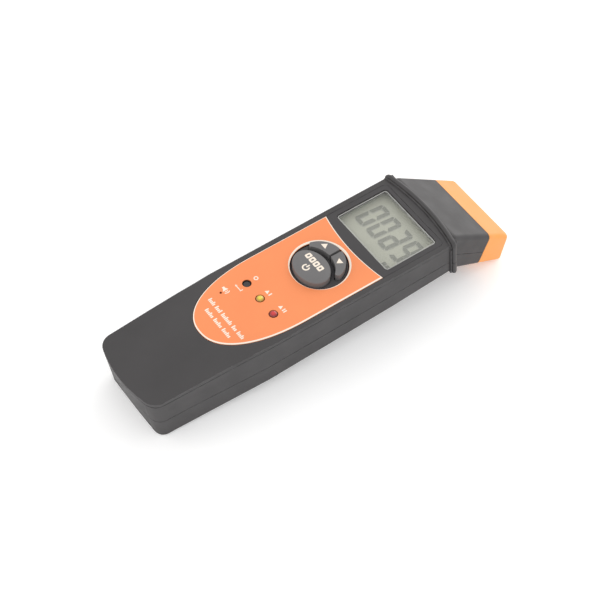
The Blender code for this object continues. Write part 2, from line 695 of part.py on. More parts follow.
def board_parts(chip_finish, can_finish, buzzer_finish, header_finish):
    under = BOARD_TOP - BOARD_THICKNESS - FIT
    chip = block("controller_chip", (-6 * MM, 22 * MM, under - 1.6 * MM), (6 * MM, 34 * MM, under))
    place("controller_chip", chip, chip_finish)
    crystal = drum("crystal", 1.5 * MM, under - 6 * MM, under, 16, (10 * MM, 20 * MM))
    place("clock_crystal", crystal, can_finish)
    capacitor = drum("capacitor", 3.1 * MM, under - 8 * MM, under, 20, (-12 * MM, 4 * MM))
    place("board_capacitor", capacitor, can_finish)
    header = block("sensor_header", (-6 * MM, 44 * MM, under - 4 * MM), (6 * MM, 49 * MM, under))
    place("sensor_header", header, header_finish)
    x, y = SOUND_HOLE[0], SOUND_HOLE[1] + 3.0 * MM
    profile = [
        (0.0, -4.2 * MM),
        (1.0 * MM, -4.2 * MM),
        (1.0 * MM, -3.4 * MM),
        (4.2 * MM, -3.4 * MM),
        (4.2 * MM, BOARD_TOP + FIT),
        (0.0, BOARD_TOP + FIT),
    ]
    turned("buzzer", profile, buzzer_finish, (x, y, 0.0))


def battery(case_finish, snap_finish, pad_finish):
    half_x, half_y, half_z = (size / 2 for size in BATTERY_SIZE)
    x, y, z = BATTERY_CENTRE
    low = (x - half_x, y - half_y, z - half_z)
    high = (x + half_x, y + half_y, z + half_z)
    cell = soften(place("battery_9v", block("battery", low, high), case_finish), 1.6 * MM)
    turn = Matrix.Rotation(-pi / 2, 4, "X")
    for side in (-1, 1):
        stud = drum("stud", 3.0 * MM, 0.0, 2.6 * MM, 16)
        stud.transform(Matrix.Translation((side * 6.4 * MM, high[1] - 0.4 * MM, z)) @ turn)
        combine(cell, "UNION", place(f"stud_{side}", stud))
    pad_low = (-9 * MM, -90 * MM, high[2] + FIT)
    pad_high = (9 * MM, -64 * MM, high[2] + FIT + PAD_THICKNESS)
    place("battery_pad", block("battery_pad", pad_low, pad_high), pad_finish)
    face = high[1] + FIT
    snap_low = (-12.4 * MM, face, z - 6.5 * MM)
    snap_high = (12.4 * MM, face + 4.4 * MM, z + 6.5 * MM)
    snap = soften(place("battery_snap", block("snap", snap_low, snap_high), snap_finish), 0.8 * MM, 1)
    for side in (-1, 1):
        cup = drum("cup", 3.5 * MM, 0.0, 3.0 * MM, 16)
        cup.transform(Matrix.Translation((side * 6.4 * MM, face - 0.4 * MM, z)) @ turn)
        combine(snap, "DIFFERENCE", place(f"cup_{side}", cup))


def wire(name, route, radius, finish):
    """A round lead through the points of its route, smoothed by a Catmull-Rom curve."""
    knots = [Vector(point) * MM for point in route]
    ends = [2 * knots[0] - knots[1]] + knots + [2 * knots[-1] - knots[-2]]
    points = []
    steps = 4
    for a, b, c, d in zip(ends, ends[1:], ends[2:], ends[3:]):
        for i in range(steps):
            t = i / steps
            bend = 2 * a - 5 * b + 4 * c - d
            twist = 3 * b - a - 3 * c + d
            points.append(0.5 * (2 * b + (c - a) * t + bend * t**2 + twist * t**3))
    points.append(knots[-1])
    curve = bpy.data.curves.new(name, "CURVE")
    curve.dimensions = "3D"
    curve.bevel_depth = radius
    curve.bevel_resolution = 2
    curve.use_fill_caps = True
    spline = curve.splines.new("POLY")
    spline.points.add(len(points) - 1)
    for point, spot in zip(spline.points, points):
        point.co = (*spot, 1.0)
    return place(name, curve_mesh(curve), finish)


def leads(red_finish, black_finish, cable_finish):
    """Battery leads from the snap to the board's underside, and the cable on to the sensor board."""
    for name, x, finish in (("battery_lead_red", 8.0, red_finish), ("battery_lead_black", 4.0, black_finish)):
        route = [(x, -52.9, -15.0), (x, -50.5, -15.4), (x + 1, -46.0, -15.6)]
        route += [(x + 2, -41.0, -14.5), (x + 2, -38.5, -11.5)]
        wire(name, route, 0.7 * MM, finish)
    route = [(0.0, 49.6, -13.4), (0.0, 54.0, -13.8), (0.0, 59.0, -15.5), (0.0, 62.0, -16.6)]
    wire("sensor_cable", route, 1.3 * MM, cable_finish)


def sensor(board_finish, cell_finish, seal_finish, filter_finish, carrier_finish):
    """The sensing parts, in line along the bent head."""
    turn = head_turn()
    sleeve = head_form("sensor_carrier", 0, WALL + 0.4 * MM, carrier_finish)
    span = block("carrier_span", (-40 * MM, -30 * MM, -6 * MM), (40 * MM, 30 * MM, 9 * MM))
    keep = place("carrier_span", span, None, head_point(0.0), turn)
    combine(sleeve, "INTERSECT", keep)
    combine(sleeve, "DIFFERENCE", head_form("carrier_hollow", 0, WALL + 1.2 * MM))
    board = block("sensor_board", (-15 * MM, -5.5 * MM, -17.4 * MM), (15 * MM, 5.5 * MM, -16.2 * MM))
    place("sensor_board", board, board_finish, head_point(0.0), turn)
    profile = [
        (0.0, 4.0 * MM),
        (CELL_RADIUS, 4.0 * MM),
        (CELL_RADIUS, 4.0 * MM - CELL_LENGTH + 0.4 * MM),
        (0.0, 4.0 * MM - CELL_LENGTH + 0.4 * MM),
    ]
    turned("sensor_cell", profile, cell_finish, head_point(0.0), turn)
    ring = [
        (CELL_RADIUS, 6.0 * MM),
        (CELL_RADIUS, 4.4 * MM),
        (2.8 * MM, 4.4 * MM),
        (2.8 * MM, 6.0 * MM),
        (CELL_RADIUS, 6.0 * MM),
    ]
    turned("sensor_gasket", ring, seal_finish, head_point(0.0), turn)
    disc = drum("filter_disc", 4.4 * MM, 6.4 * MM, 7.2 * MM, 24)
    place("filter_disc", disc, filter_finish, head_point(0.0), turn)


def screw(name, spot, head_z, head_radius, head_height, shank_radius, tip_z, finish):
    """A pan-head screw driven up from the back, with its head's underside at head_z."""
    profile = [
        (0.0, tip_z),
        (shank_radius * 0.5, tip_z),
        (shank_radius, tip_z - 1.0 * MM),
        (shank_radius, head_z),
        (head_radius, head_z),
        (head_radius * 0.8, head_z - head_height),
        (0.0, head_z - head_height),
    ]
    driven = turned(name, profile, finish, (*spot, 0.0), sides=16)
    for i in range(2):
        size = (0.35 * MM, head_radius * 0.6) if i else (head_radius * 0.6, 0.35 * MM)
        low = (spot[0] - size[0], spot[1] - size[1], head_z - head_height - 1 * MM)
        high = (spot[0] + size[0], spot[1] + size[1], head_z - head_height * 0.4)
        combine(driven, "DIFFERENCE", place(f"{name}_cross_{i}", block("cross", low, high)))


def screws(finish):
    for name, spot in screw_places():
        screw("case_screw_" + name, spot, SCREW_SEAT - FIT, 2.2 * MM, 1.6 * MM, 1.0 * MM, -5.0 * MM, finish)
    under_board = BOARD_TOP - BOARD_THICKNESS - FIT
    for name, spot in board_screw_places():
        screw("board_screw_" + name, spot, under_board, 1.9 * MM, 1.3 * MM, 0.8 * MM, -5.0 * MM, finish)


def lay_on_back():
    """Turns the meter until its tail and its head's tip stand at one level, and sets its box down."""
    pose = bpy.data.objects["meter_pose"]
    tilt = radians(5.0)
    for _ in range(4):
        pose.matrix_world = Matrix.Rotation(tilt, 4, "X")
        points = world_points()
        tail = min((p for p in points if p.y < 0), key=lambda p: p.z)
        head = min((p for p in points if p.y > 0), key=lambda p: p.z)
        tilt -= atan2(head.z - tail.z, head.y - tail.y)
    pose.matrix_world = Matrix.Rotation(tilt, 4, "X")
    points = world_points()
    lowest = [min(p[axis] for p in points) for axis in range(3)]
    highest = [max(p[axis] for p in points) for axis in range(3)]
    middle = ((lowest[0] + highest[0]) / 2, (lowest[1] + highest[1]) / 2, lowest[2])
    pose.matrix_world = Matrix.Translation(-Vector(middle)) @ pose.matrix_world


def world_points():
    bpy.context.view_layer.update()
    graph = bpy.context.evaluated_depsgraph_get()
    points = []
    for name in ("front_shell", "rear_shell", "sensor_cap", "battery_door"):
        obj = bpy.data.objects[name].evaluated_get(graph)
        points += [obj.matrix_world @ vertex.co for vertex in obj.data.vertices]
    return points


def main():
    start_scene()
    case = material("case_plastic", (0.085, 0.080, 0.083), 0.6)
    orange = material("orange_plastic", (0.95, 0.42, 0.12), 0.45)
    label = material("label_film", (0.93, 0.34, 0.14), 0.5)
    panel = material("panel_film", (0.070, 0.066, 0.064), 0.4)
    window = material("window_clear", (0.85, 0.87, 0.84), 0.08, transmission=0.9)
    liquid_crystal = material("display_glass", (0.47, 0.48, 0.38), 0.25)
    rubber = material("key_rubber", (0.165, 0.160, 0.160), 0.7)
    dark_rubber = material("dark_rubber", (0.060, 0.055, 0.058), 0.75)
    black = material("black_plastic", (0.02, 0.02, 0.02), 0.5)
    green = material("circuit_board", (0.03, 0.16, 0.07), 0.45)
    steel = material("zinc_steel", (0.62, 0.62, 0.60), 0.35, 1.0)
    can = material("aluminium_can", (0.75, 0.75, 0.76), 0.3, 1.0)
    foam = material("pad_foam", (0.10, 0.10, 0.11), 0.95)
    white = material("white_plastic", (0.75, 0.75, 0.72), 0.5)
    red_wire = material("red_insulation", (0.60, 0.02, 0.02), 0.5)
    battery_wrap = material("battery_wrap", (0.10, 0.11, 0.14), 0.35)
    membrane = material("filter_membrane", (0.82, 0.82, 0.80), 0.9)
    yellow_lens = material("yellow_lens", (0.80, 0.66, 0.05), 0.2)
    red_lens = material("red_lens", (0.45, 0.02, 0.02), 0.2)

    front_shell(case)
    rear_shell(case)
    battery_door(case)
    sensor_cap(orange)
    face_panels(label, panel)
    display(window, liquid_crystal, black, dark_rubber)
    keypad(dark_rubber, rubber)
    off_button(dark_rubber)
    lamps((("yellow_lamp", yellow_lens), ("red_lamp", red_lens)))
    main_board(green)
    board_parts(black, can, black, white)
    battery(battery_wrap, black, foam)
    leads(red_wire, black, dark_rubber)
    sensor(green, white, dark_rubber, membrane, black)
    screws(steel)
    lay_on_back()


main()
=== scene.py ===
"""Looks of the handheld gas alarm meter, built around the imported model.

Pieces are made in the meter's own axes, in metres: the face is the plane Z = 0 with its keypad at the
origin, +X is the right of the face, +Y points to the sensor head and +Z comes out of the face. The frame
says how the meter lies, and every piece takes that placing.
"""

import json
from contextlib import contextmanager
from math import atan2, cos, pi, radians, sin, sqrt

import bmesh
import bpy
from mathutils import Matrix, Vector


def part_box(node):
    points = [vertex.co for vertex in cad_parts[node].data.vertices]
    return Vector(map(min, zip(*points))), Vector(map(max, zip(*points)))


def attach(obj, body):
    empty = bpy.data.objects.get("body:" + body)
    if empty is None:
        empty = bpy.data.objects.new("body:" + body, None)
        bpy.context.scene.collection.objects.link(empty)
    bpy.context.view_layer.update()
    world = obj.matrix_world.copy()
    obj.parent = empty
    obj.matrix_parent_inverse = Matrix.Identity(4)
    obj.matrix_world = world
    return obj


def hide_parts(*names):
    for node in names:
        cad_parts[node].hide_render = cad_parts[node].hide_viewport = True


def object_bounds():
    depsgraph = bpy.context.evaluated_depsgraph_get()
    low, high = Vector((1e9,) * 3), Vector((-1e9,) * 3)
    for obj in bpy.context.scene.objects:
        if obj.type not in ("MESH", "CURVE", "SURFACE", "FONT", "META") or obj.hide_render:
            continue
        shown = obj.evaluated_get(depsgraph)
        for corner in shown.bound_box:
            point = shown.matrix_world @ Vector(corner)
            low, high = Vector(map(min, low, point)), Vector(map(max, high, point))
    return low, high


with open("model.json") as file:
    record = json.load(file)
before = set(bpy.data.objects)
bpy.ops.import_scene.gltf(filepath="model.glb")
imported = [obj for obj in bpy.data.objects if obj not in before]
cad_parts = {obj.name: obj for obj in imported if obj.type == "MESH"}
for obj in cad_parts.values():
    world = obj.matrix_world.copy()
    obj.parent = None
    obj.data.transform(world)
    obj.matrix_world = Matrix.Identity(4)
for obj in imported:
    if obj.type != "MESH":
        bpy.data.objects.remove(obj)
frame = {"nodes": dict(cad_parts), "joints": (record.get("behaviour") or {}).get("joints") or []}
cad_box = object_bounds()

MM = 0.001
FIT = 0.3 * MM  # clear gap between two pieces that touch
REACH = 40.0 * MM  # how far a cutter runs to each side of the case
THROUGH = 6.0 * MM  # how far a cutter runs above and below the face

# The handle, from the tail to the collar.
TAIL_WIDTH = 45.4 * MM
HANDLE_WIDTH = 49.7 * MM
COLLAR_END_WIDTH = 50.7 * MM
TAIL_END = -109.1 * MM
TAIL_ARC = 61.0 * MM
TAIL_CORNER = 7.2 * MM
TAPER_START = -45.0 * MM
FACE_DROP_START = -62.0 * MM
FACE_DROP = 1.8 * MM
HANDLE_DEPTH_TAIL = 28.6 * MM
HANDLE_DEPTH_KNEE = 22.2 * MM
HANDLE_DEPTH_COLLAR = 19.4 * MM
KNEE_Y = 25.0 * MM  # from here to the collar the back rises faster
LEAN_START = -95.0 * MM  # the outline leans in from here to the tail end
TAIL_LEAN_MIDDLE = 0.23  # how far the tail end moves in for each unit of depth
TAIL_LEAN_CORNER = 0.09
SIDE_DRAFT = 0.006  # how far a side moves in for each unit of depth
TAIL_DRAFT = 0.04
WALL = 2.2 * MM
FACE_EDGE = 1.3 * MM
BACK_EDGE = 2.4 * MM
LIP_Z = -1.9 * MM  # the shadow line under the face's rounded edge
LIP_DEPTH = 0.45 * MM
SEAM = 0.28 * MM  # the line that shows where the two halves of the case meet

# The collar and the bent head.
COLLAR_WIDTH = 54.0 * MM
COLLAR_LENGTH = 3.6 * MM
COLLAR_CENTRE_Y = 59.2 * MM
COLLAR_SWEEP = 3.2 * MM
COLLAR_RISE = 1.6 * MM
COLLAR_DEPTH = 23.0 * MM
COLLAR_CORNER = 3.0 * MM
COLLAR_LEAN = 0.1
HEAD_WIDTH_COLLAR = 47.0 * MM
HEAD_WIDTH_TIP = 43.8 * MM
HEAD_EDGE = 2.4 * MM

# Lines seen from the side, as (y, z) points: the head's top and underside from the collar to the tip,
# the seam of the sensor cap from top to bottom, and where the two halves of the case meet.
HEAD_TOP = ((61.2 * MM, 1.0 * MM), (98.0 * MM, -24.4 * MM))
HEAD_UNDER = ((65.1 * MM, -25.4 * MM), (94.2 * MM, -40.9 * MM))
CAP_SEAM = ((85.0 * MM, -14.2 * MM), (78.0 * MM, -32.8 * MM))
PARTING_MM = ((-130.0, -16.6), (-61.0, -16.0), (55.0, -12.6), (63.0, -13.0), (110.0, -43.0))
PARTING = [(y * MM, z * MM) for y, z in PARTING_MM]

# The face.
LABEL_HALF_WIDTH = 22.3 * MM
LABEL_TOP = 17.4 * MM
LABEL_TOP_SWEEP = 2.4 * MM
LABEL_ROUND_START = -22.0 * MM
LABEL_ROUND_LENGTH = 44.4 * MM
LABEL_ROUND_POWER = 2.25
LABEL_THICKNESS = 0.5 * MM
INK = 0.03 * MM  # how far print stands above the surface it is on
SURROUND_TOP = 55.0 * MM
WINDOW_CENTRE_Y = 38.4 * MM
WINDOW_SIZE = (39.7 * MM, 29.4 * MM)
WINDOW_CORNER = 1.6 * MM
LENS_TOP = -0.6 * MM
LENS_BOTTOM = -4.0 * MM
FIGURES = ("abcdef", "abcdef", "abcdeg", "abcdfg")  # the bars that show in each figure of the reading
KEYPAD_RADIUS = 13.75 * MM
KEY_BASE_RADIUS = 15.6 * MM
KEY_BASE_BOTTOM = -3.8 * MM
KEY_FIELD_TOP = -0.5 * MM
KEY_EDGE_HEIGHT = 2.3 * MM
MODE_CENTRE_Y = -4.6 * MM
MODE_SIZE = (11.2 * MM, 8.0 * MM)
ARROW_KEY_RADIUS = 12.2 * MM
STEM_END = -8.0 * MM  # where a key's stem ends, a little more than its travel above the board
KEY_GAP = 1.0 * MM
ROW_Y = -33.2 * MM
ROW_PITCH = 10.66 * MM
LAMP_RADIUS = 1.9 * MM
OFF_RADIUS = 1.85 * MM
OFF_WELL_RADIUS = 2.2 * MM
SOUND_HOLE = (-13.0 * MM, -46.0 * MM)
SOUND_HOLE_RADIUS = 0.6 * MM

# The inside that shows when the door or the cap is off.
BOARD_TOP = -9.0 * MM
CASE_SCREWS = [(side * 18.2 * MM, y * MM) for y in (14.3, -36.0) for side in (-1, 1)]
BOSS_RADIUS = 2.7 * MM
POST_RADIUS = 3.6 * MM
WELL_RADIUS = 2.6 * MM
SCREW_HOLE_RADIUS = 1.3 * MM
DOOR_HALF_WIDTH = 17.6 * MM
DOOR_HEAD_END = -50.4 * MM
DOOR_THICKNESS = 1.9 * MM
BAY_HALF_WIDTH = 14.6 * MM
BAY_ENDS = (-103.0 * MM, -52.0 * MM)
BAY_FLOOR = -21.5 * MM

# The camera, in the meter's axes.
CAMERA_PLACE = Vector((442.1, -331.1, 698.7)) * MM
CAMERA_TARGET = Vector((11.1, -18.8, 0.0)) * MM
CAMERA_RIGHT = Vector((0.5768, 0.8169, 0.0094))
CAMERA_LENS = 116.0


def meter_pose():
    """How the meter lies: its tilt from a key's axis, and its place from the keypad's round base."""
    axis = next(joint["axis"] for joint in frame["joints"] if joint["name"] == "mode_key_press")
    turn = Matrix.Rotation(atan2(axis[1], -axis[2]), 4, "X")
    back = turn.inverted()
    points = [back @ vertex.co for vertex in frame["nodes"]["key_base"].data.vertices]
    middle = [(min(p[i] for p in points) + max(p[i] for p in points)) / 2 for i in range(2)]
    top = max(p.z for p in points)
    return turn @ Matrix.Translation((*middle, top - KEY_FIELD_TOP))


POSE = meter_pose()


# ---- mesh tools


def new_object(name, data):
    obj = bpy.data.objects.new(name, data)
    bpy.context.scene.collection.objects.link(obj)
    return obj


def mesh_of(bm, name):
    mesh = bpy.data.meshes.new(name)
    bm.to_mesh(mesh)
    bm.free()
    return mesh


@contextmanager
def opened(mesh):
    """A mesh opened for changes, which are written back to it."""
    bm = bmesh.new()
    bm.from_mesh(mesh)
    yield bm
    bm.to_mesh(mesh)
    bm.free()


def apply_modifiers(obj):
    graph = bpy.context.evaluated_depsgraph_get()
    mesh = bpy.data.meshes.new_from_object(obj.evaluated_get(graph))
    obj.modifiers.clear()
    obj.data = mesh
    return obj


def curve_mesh(curve):
    """The closed mesh that a curve makes."""
    holder = new_object(curve.name, curve)
    graph = bpy.context.evaluated_depsgraph_get()
    mesh = bpy.data.meshes.new_from_object(holder.evaluated_get(graph))
    bpy.data.objects.remove(holder)
    with opened(mesh) as bm:
        bmesh.ops.remove_doubles(bm, verts=bm.verts, dist=0.002 * MM)
        bmesh.ops.recalc_face_normals(bm, faces=bm.faces)
        bmesh.ops.dissolve_limit(bm, angle_limit=radians(0.2), verts=bm.verts, edges=bm.edges)
    return mesh


def slab(name, outline, low, high, upright=False, holes=()):
    """A flat outline given thickness: along Z, or along X where upright, when its points are (Y, Z)."""
    curve = bpy.data.curves.new(name, "CURVE")
    curve.dimensions = "2D"
    curve.fill_mode = "BOTH"
    curve.extrude = (high - low) / 2
    for ring in (outline, *holes):
        spline = curve.splines.new("POLY")
        spline.points.add(len(ring) - 1)
        for point, (u, v) in zip(spline.points, ring):
            point.co = (u, v, 0.0, 1.0)
        spline.use_cyclic_u = True
    mesh = curve_mesh(curve)
    mesh.transform(Matrix.Translation((0.0, 0.0, (low + high) / 2)))
    if upright:
        mesh.transform(Matrix(((0, 0, 1, 0), (1, 0, 0, 0), (0, 1, 0, 0), (0, 0, 0, 1))))
    return mesh


def block(name, low, high):
    bm = bmesh.new()
    size = [b - a for a, b in zip(low, high)]
    middle = [(a + b) / 2 for a, b in zip(low, high)]
    bmesh.ops.create_cube(bm, size=1.0, matrix=Matrix.Translation(middle) @ Matrix.Diagonal((*size, 1.0)))
    return mesh_of(bm, name)


def drum(name, radius, low, high, sides=48, centre=(0.0, 0.0)):
    bm = bmesh.new()
    place = Matrix.Translation((*centre, (low + high) / 2))
    bmesh.ops.create_cone(
        bm, cap_ends=True, segments=sides, radius1=radius, radius2=radius, depth=high - low, matrix=place
    )
    return mesh_of(bm, name)


def turned(name, profile, sides=64):
    """A solid of revolution about Z. The profile is (radius, z) points from top to bottom."""
    bm = bmesh.new()
    points = [bm.verts.new((radius, 0.0, z)) for radius, z in profile]
    for first, second in zip(points, points[1:]):
        bm.edges.new((first, second))
    obj = new_object(name, mesh_of(bm, name))
    screw = obj.modifiers.new("turn", "SCREW")
    screw.steps = screw.render_steps = sides
    screw.use_merge_vertices = True
    screw.merge_threshold = 0.002 * MM
    return apply_modifiers(obj)


def carve(obj, operation, *meshes):
    """Cuts, joins or trims an object with meshes or other objects, which are used up."""
    tools = []
    for mesh in meshes:
        tool = mesh if isinstance(mesh, bpy.types.Object) else new_object("tool", mesh)
        tools.append(tool)
        boolean = obj.modifiers.new("carve", "BOOLEAN")
        boolean.operation = operation
        boolean.object = tool
    apply_modifiers(obj)
    for tool in tools:
        bpy.data.objects.remove(tool)
    return obj


def soften(obj, width, segments=6, angle=35.0):
    bevel = obj.modifiers.new("soften", "BEVEL")
    bevel.width = width
    bevel.segments = segments
    bevel.limit_method = "ANGLE"
    bevel.angle_limit = radians(angle)
    return apply_modifiers(obj)


def bevelled(bm, edges, radius, segments, clamp=False):
    bmesh.ops.bevel(
        bm, geom=edges, offset=radius, segments=segments, profile=0.5, affect="EDGES", clamp_overlap=clamp
    )


def round_edges(obj, radius, where, segments=3, angle=40.0):
    """Rounds the sharp outer edges whose middle passes the test."""
    with opened(obj.data) as bm:
        bmesh.ops.remove_doubles(bm, verts=bm.verts, dist=0.001 * MM)
        chosen = []
        for edge in bm.edges:
            if len(edge.link_faces) != 2 or edge.calc_face_angle_signed(0.0) < radians(angle):
                continue
            if where((edge.verts[0].co + edge.verts[1].co) / 2):
                chosen.append(edge)
        bevelled(bm, chosen, radius, segments, True)
    return obj


def finished(obj, finish, body, nodes):
    """Shades a piece, lays it in place inside the CAD box, ties it to its body and hides the CAD nodes it
    replaces.
    """
    mesh = obj.data
    mesh.materials.clear()
    mesh.materials.append(FINISHES[finish])
    mesh.shade_smooth()
    mesh.set_sharp_from_angle(angle=radians(32.0))
    weighted = obj.modifiers.new("flat_faces_stay_flat", "WEIGHTED_NORMAL")
    weighted.keep_sharp = True
    mesh.transform(POSE)
    for vertex in mesh.vertices:
        vertex.co = [min(max(at, low), high) for at, low, high in zip(vertex.co, *cad_box)]
    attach(obj, body)
    if nodes:
        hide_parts(*nodes)
    return obj


def joined(name, meshes):
    """One object from several meshes that don't touch."""
    bm = bmesh.new()
    for mesh in meshes:
        bm.from_mesh(mesh)
    return new_object(name, mesh_of(bm, name))


# ---- outlines


def arc(centre, radius, start, end, steps):
    """Points on an arc, with its angles in degrees from +U towards +V."""
    angles = [radians(start + (end - start) * i / steps) for i in range(steps + 1)]
    return [(centre[0] + radius * cos(a), centre[1] + radius * sin(a)) for a in angles]


def rounded_rectangle(half_u, half_v, radius, centre=(0.0, 0.0), steps=8):
    points = []
    for quarter, (su, sv) in enumerate(((1, 1), (-1, 1), (-1, -1), (1, -1))):
        corner = (centre[0] + su * (half_u - radius), centre[1] + sv * (half_v - radius))
        points += arc(corner, radius, 90 * quarter, 90 * quarter + 90, steps)
    return points


def inset(outline, distance):
    """The same outline moved inwards by a distance, or outwards where that is negative."""
    if not distance:
        return list(outline)
    turning = sum(u0 * v1 - u1 * v0 for (u0, v0), (u1, v1) in zip(outline, outline[1:] + outline[:1]))
    side = distance if turning > 0 else -distance
    moved = []
    for before, here, after in zip(outline[-1:] + outline[:-1], outline, outline[1:] + outline[:1]):
        entering = Vector((here[0] - before[0], here[1] - before[1])).normalized()
        leaving = Vector((after[0] - here[0], after[1] - here[1])).normalized()
        mitre = Vector((-entering.y - leaving.y, entering.x + leaving.x)).normalized()
        stretch = side / max(mitre.dot(Vector((-entering.y, entering.x))), 0.3)
        moved.append((here[0] + mitre.x * stretch, here[1] + mitre.y * stretch))
    return moved


def mirrored(right_side):
    """A full outline from the points of its right side, which run from the middle to the middle."""
    left_side = [(-x, y) for x, y in reversed(right_side) if abs(x) > 0.01 * MM]
    return right_side + left_side


def handle_plan():
    """The handle seen from above: tapered sides, round corners and a shallow arc across the tail."""
    corner_x = TAIL_WIDTH / 2 - TAIL_CORNER
    arc_centre_y = TAIL_END + TAIL_ARC
    corner_y = arc_centre_y - sqrt((TAIL_ARC - TAIL_CORNER) ** 2 - corner_x**2)
    swing = atan2(corner_x, arc_centre_y - corner_y) * 180 / pi
    tail = arc((0.0, arc_centre_y), TAIL_ARC, -90, -90 + swing, 12)
    corner = arc((corner_x, corner_y), TAIL_CORNER, -90 + swing, 0, 14)
    sides = [(HANDLE_WIDTH / 2, TAPER_START), (COLLAR_END_WIDTH / 2, 61.0 * MM), (0.0, 61.0 * MM)]
    return mirrored(tail + corner[1:] + sides)


def back_z(y):
    """The height of the handle's back, which rises from the tail to the knee and faster to the collar."""
    if y < KNEE_Y:
        along = (y - TAIL_END) / (KNEE_Y - TAIL_END)
        return -HANDLE_DEPTH_TAIL + along * (HANDLE_DEPTH_TAIL - HANDLE_DEPTH_KNEE)
    along = (y - KNEE_Y) / (COLLAR_CENTRE_Y - KNEE_Y)
    return -HANDLE_DEPTH_KNEE + along * (HANDLE_DEPTH_KNEE - HANDLE_DEPTH_COLLAR)


def parting_z(y):
    for (y0, z0), (y1, z1) in zip(PARTING, PARTING[1:]):
        if y <= y1:
            return z0 + (z1 - z0) * (y - y0) / (y1 - y0)
    return PARTING[-1][1]


def handle_profile():
    beyond, collar = TAIL_END - 5 * MM, COLLAR_CENTRE_Y + 1.8 * MM
    return [
        (beyond, -FACE_DROP - 0.2 * MM),
        (beyond, back_z(beyond)),
        (KNEE_Y, back_z(KNEE_Y)),
        (collar, back_z(collar)),
        (collar, 0.0),
        (FACE_DROP_START, 0.0),
        (FACE_DROP_START - 14 * MM, -0.4 * MM),
    ]


def head_plan():
    half_base, half_tip = HEAD_WIDTH_COLLAR / 2, HEAD_WIDTH_TIP / 2
    back, tip = 50.0 * MM, 100.0 * MM
    return [(-half_base, back), (half_base, back), (half_tip, tip), (-half_tip, tip)]


def head_profile():
    top_base, top_tip = HEAD_TOP
    under_base, under_tip = HEAD_UNDER
    inner = [(52.0 * MM, -4.0 * MM), (52.0 * MM, -18.4 * MM), (57.0 * MM, -20.6 * MM)]
    return inner + [under_base, under_tip, top_tip, top_base]


def beyond_seam(outset=0.0):
    """The region of the head past the seam of the sensor cap, moved towards the tip by outset."""
    (top_y, top_z), (under_y, under_z) = CAP_SEAM
    along = Vector((top_y - under_y, top_z - under_z)).normalized()
    ahead = Vector((-along.y, along.x)) * -outset
    reach = along * 30 * MM
    top = Vector((top_y, top_z)) + reach + ahead
    under = Vector((under_y, under_z)) - reach + ahead
    return [tuple(under), (120 * MM, under.y), (120 * MM, top.y), tuple(top)]


def label_top(steps=16):
    """The label's top edge from its right corner to the middle."""
    xs = [LABEL_HALF_WIDTH * (1 - i / steps) for i in range(steps + 1)]
    return [(x, LABEL_TOP + LABEL_TOP_SWEEP * (x / LABEL_HALF_WIDTH) ** 2) for x in xs]


def label_plan(steps=40):
    """Straight sides, a round lower end and a top edge that sags towards the keypad."""
    lower = []
    for i in range(steps + 1):
        t = pi / 2 * i / steps
        x = LABEL_HALF_WIDTH * sin(t) ** (2 / LABEL_ROUND_POWER)
        y = LABEL_ROUND_START - LABEL_ROUND_LENGTH * cos(t) ** (2 / LABEL_ROUND_POWER)
        lower.append((x, y))
    return mirrored(lower + label_top())


def surround_plan():
    lower = [(x, y + FIT) for x, y in reversed(label_top())]
    corner = arc((LABEL_HALF_WIDTH - 2 * MM, SURROUND_TOP - 2 * MM), 2 * MM, 0, 90, 8)
    return mirrored(lower + corner + [(0.0, SURROUND_TOP)])


def window_plan(grow=0.0, corner=WINDOW_CORNER, steps=8):
    """The display window's outline, made larger by a distance."""
    half_x, half_y = WINDOW_SIZE[0] / 2 + grow, WINDOW_SIZE[1] / 2 + grow
    return rounded_rectangle(half_x, half_y, corner, (0.0, WINDOW_CENTRE_Y), steps)


def placed(outline, x, y):
    """An outline given in millimetres, moved to a place."""
    return [(x + u * MM, y + v * MM) for u, v in outline]


def ellipse(half_x, half_y, centre_y=0.0, steps=96):
    angles = [2 * pi * i / steps for i in range(steps)]
    return [(half_x * cos(a), centre_y + half_y * sin(a)) for a in angles]


def arrow_key_plan(side):
    """The half crescent between the mode key and the edge of the keypad; side is 1 for the right."""
    half_x, half_y = MODE_SIZE[0] + KEY_GAP, MODE_SIZE[1] + KEY_GAP + 1.5 * MM
    outer = arc((0.0, 0.0), ARROW_KEY_RADIUS, 13, 87, 24)
    steps = 20
    inner = []
    for i in range(steps + 1):
        x = KEY_GAP / 2 + (10.1 * MM - KEY_GAP / 2) * i / steps
        inner.append((x, MODE_CENTRE_Y + half_y * sqrt(1 - (x / half_x) ** 2)))
    outline = outer + inner
    return outline if side > 0 else [(-x, y) for x, y in reversed(outline)]


# ---- materials


def node(tree, kind, values=None, **settings):
    """Adds a shader node. A value that is another node's socket is linked, any other is set."""
    made = tree.nodes.new(kind)
    for key, value in settings.items():
        setattr(made, key, value)
    for key, value in (values or {}).items():
        if isinstance(value, bpy.types.NodeSocket):
            tree.links.new(value, made.inputs[key])
        else:
            made.inputs[key].default_value = value
    return made


def place_in(tree):
    """The piece's own coordinates."""
    place = tree.nodes.get("place") or node(tree, "ShaderNodeTexCoord", name="place")
    return place.outputs["Object"]


def noise(tree, size, detail=2.0, seed=0.0):
    """Noise whose features are about size metres across."""
    values = {"Vector": place_in(tree), "Scale": 1 / size, "Detail": detail, "W": seed}
    return node(tree, "ShaderNodeTexNoise", values, noise_dimensions="4D").outputs["Fac"]


def spread(tree, value, low, high, to_low=0.0, to_high=1.0):
    """Maps a value's range onto another, held at its ends."""
    values = {"Value": value, "From Min": low, "From Max": high, "To Min": to_low, "To Max": to_high}
    return node(tree, "ShaderNodeMapRange", values).outputs["Result"]


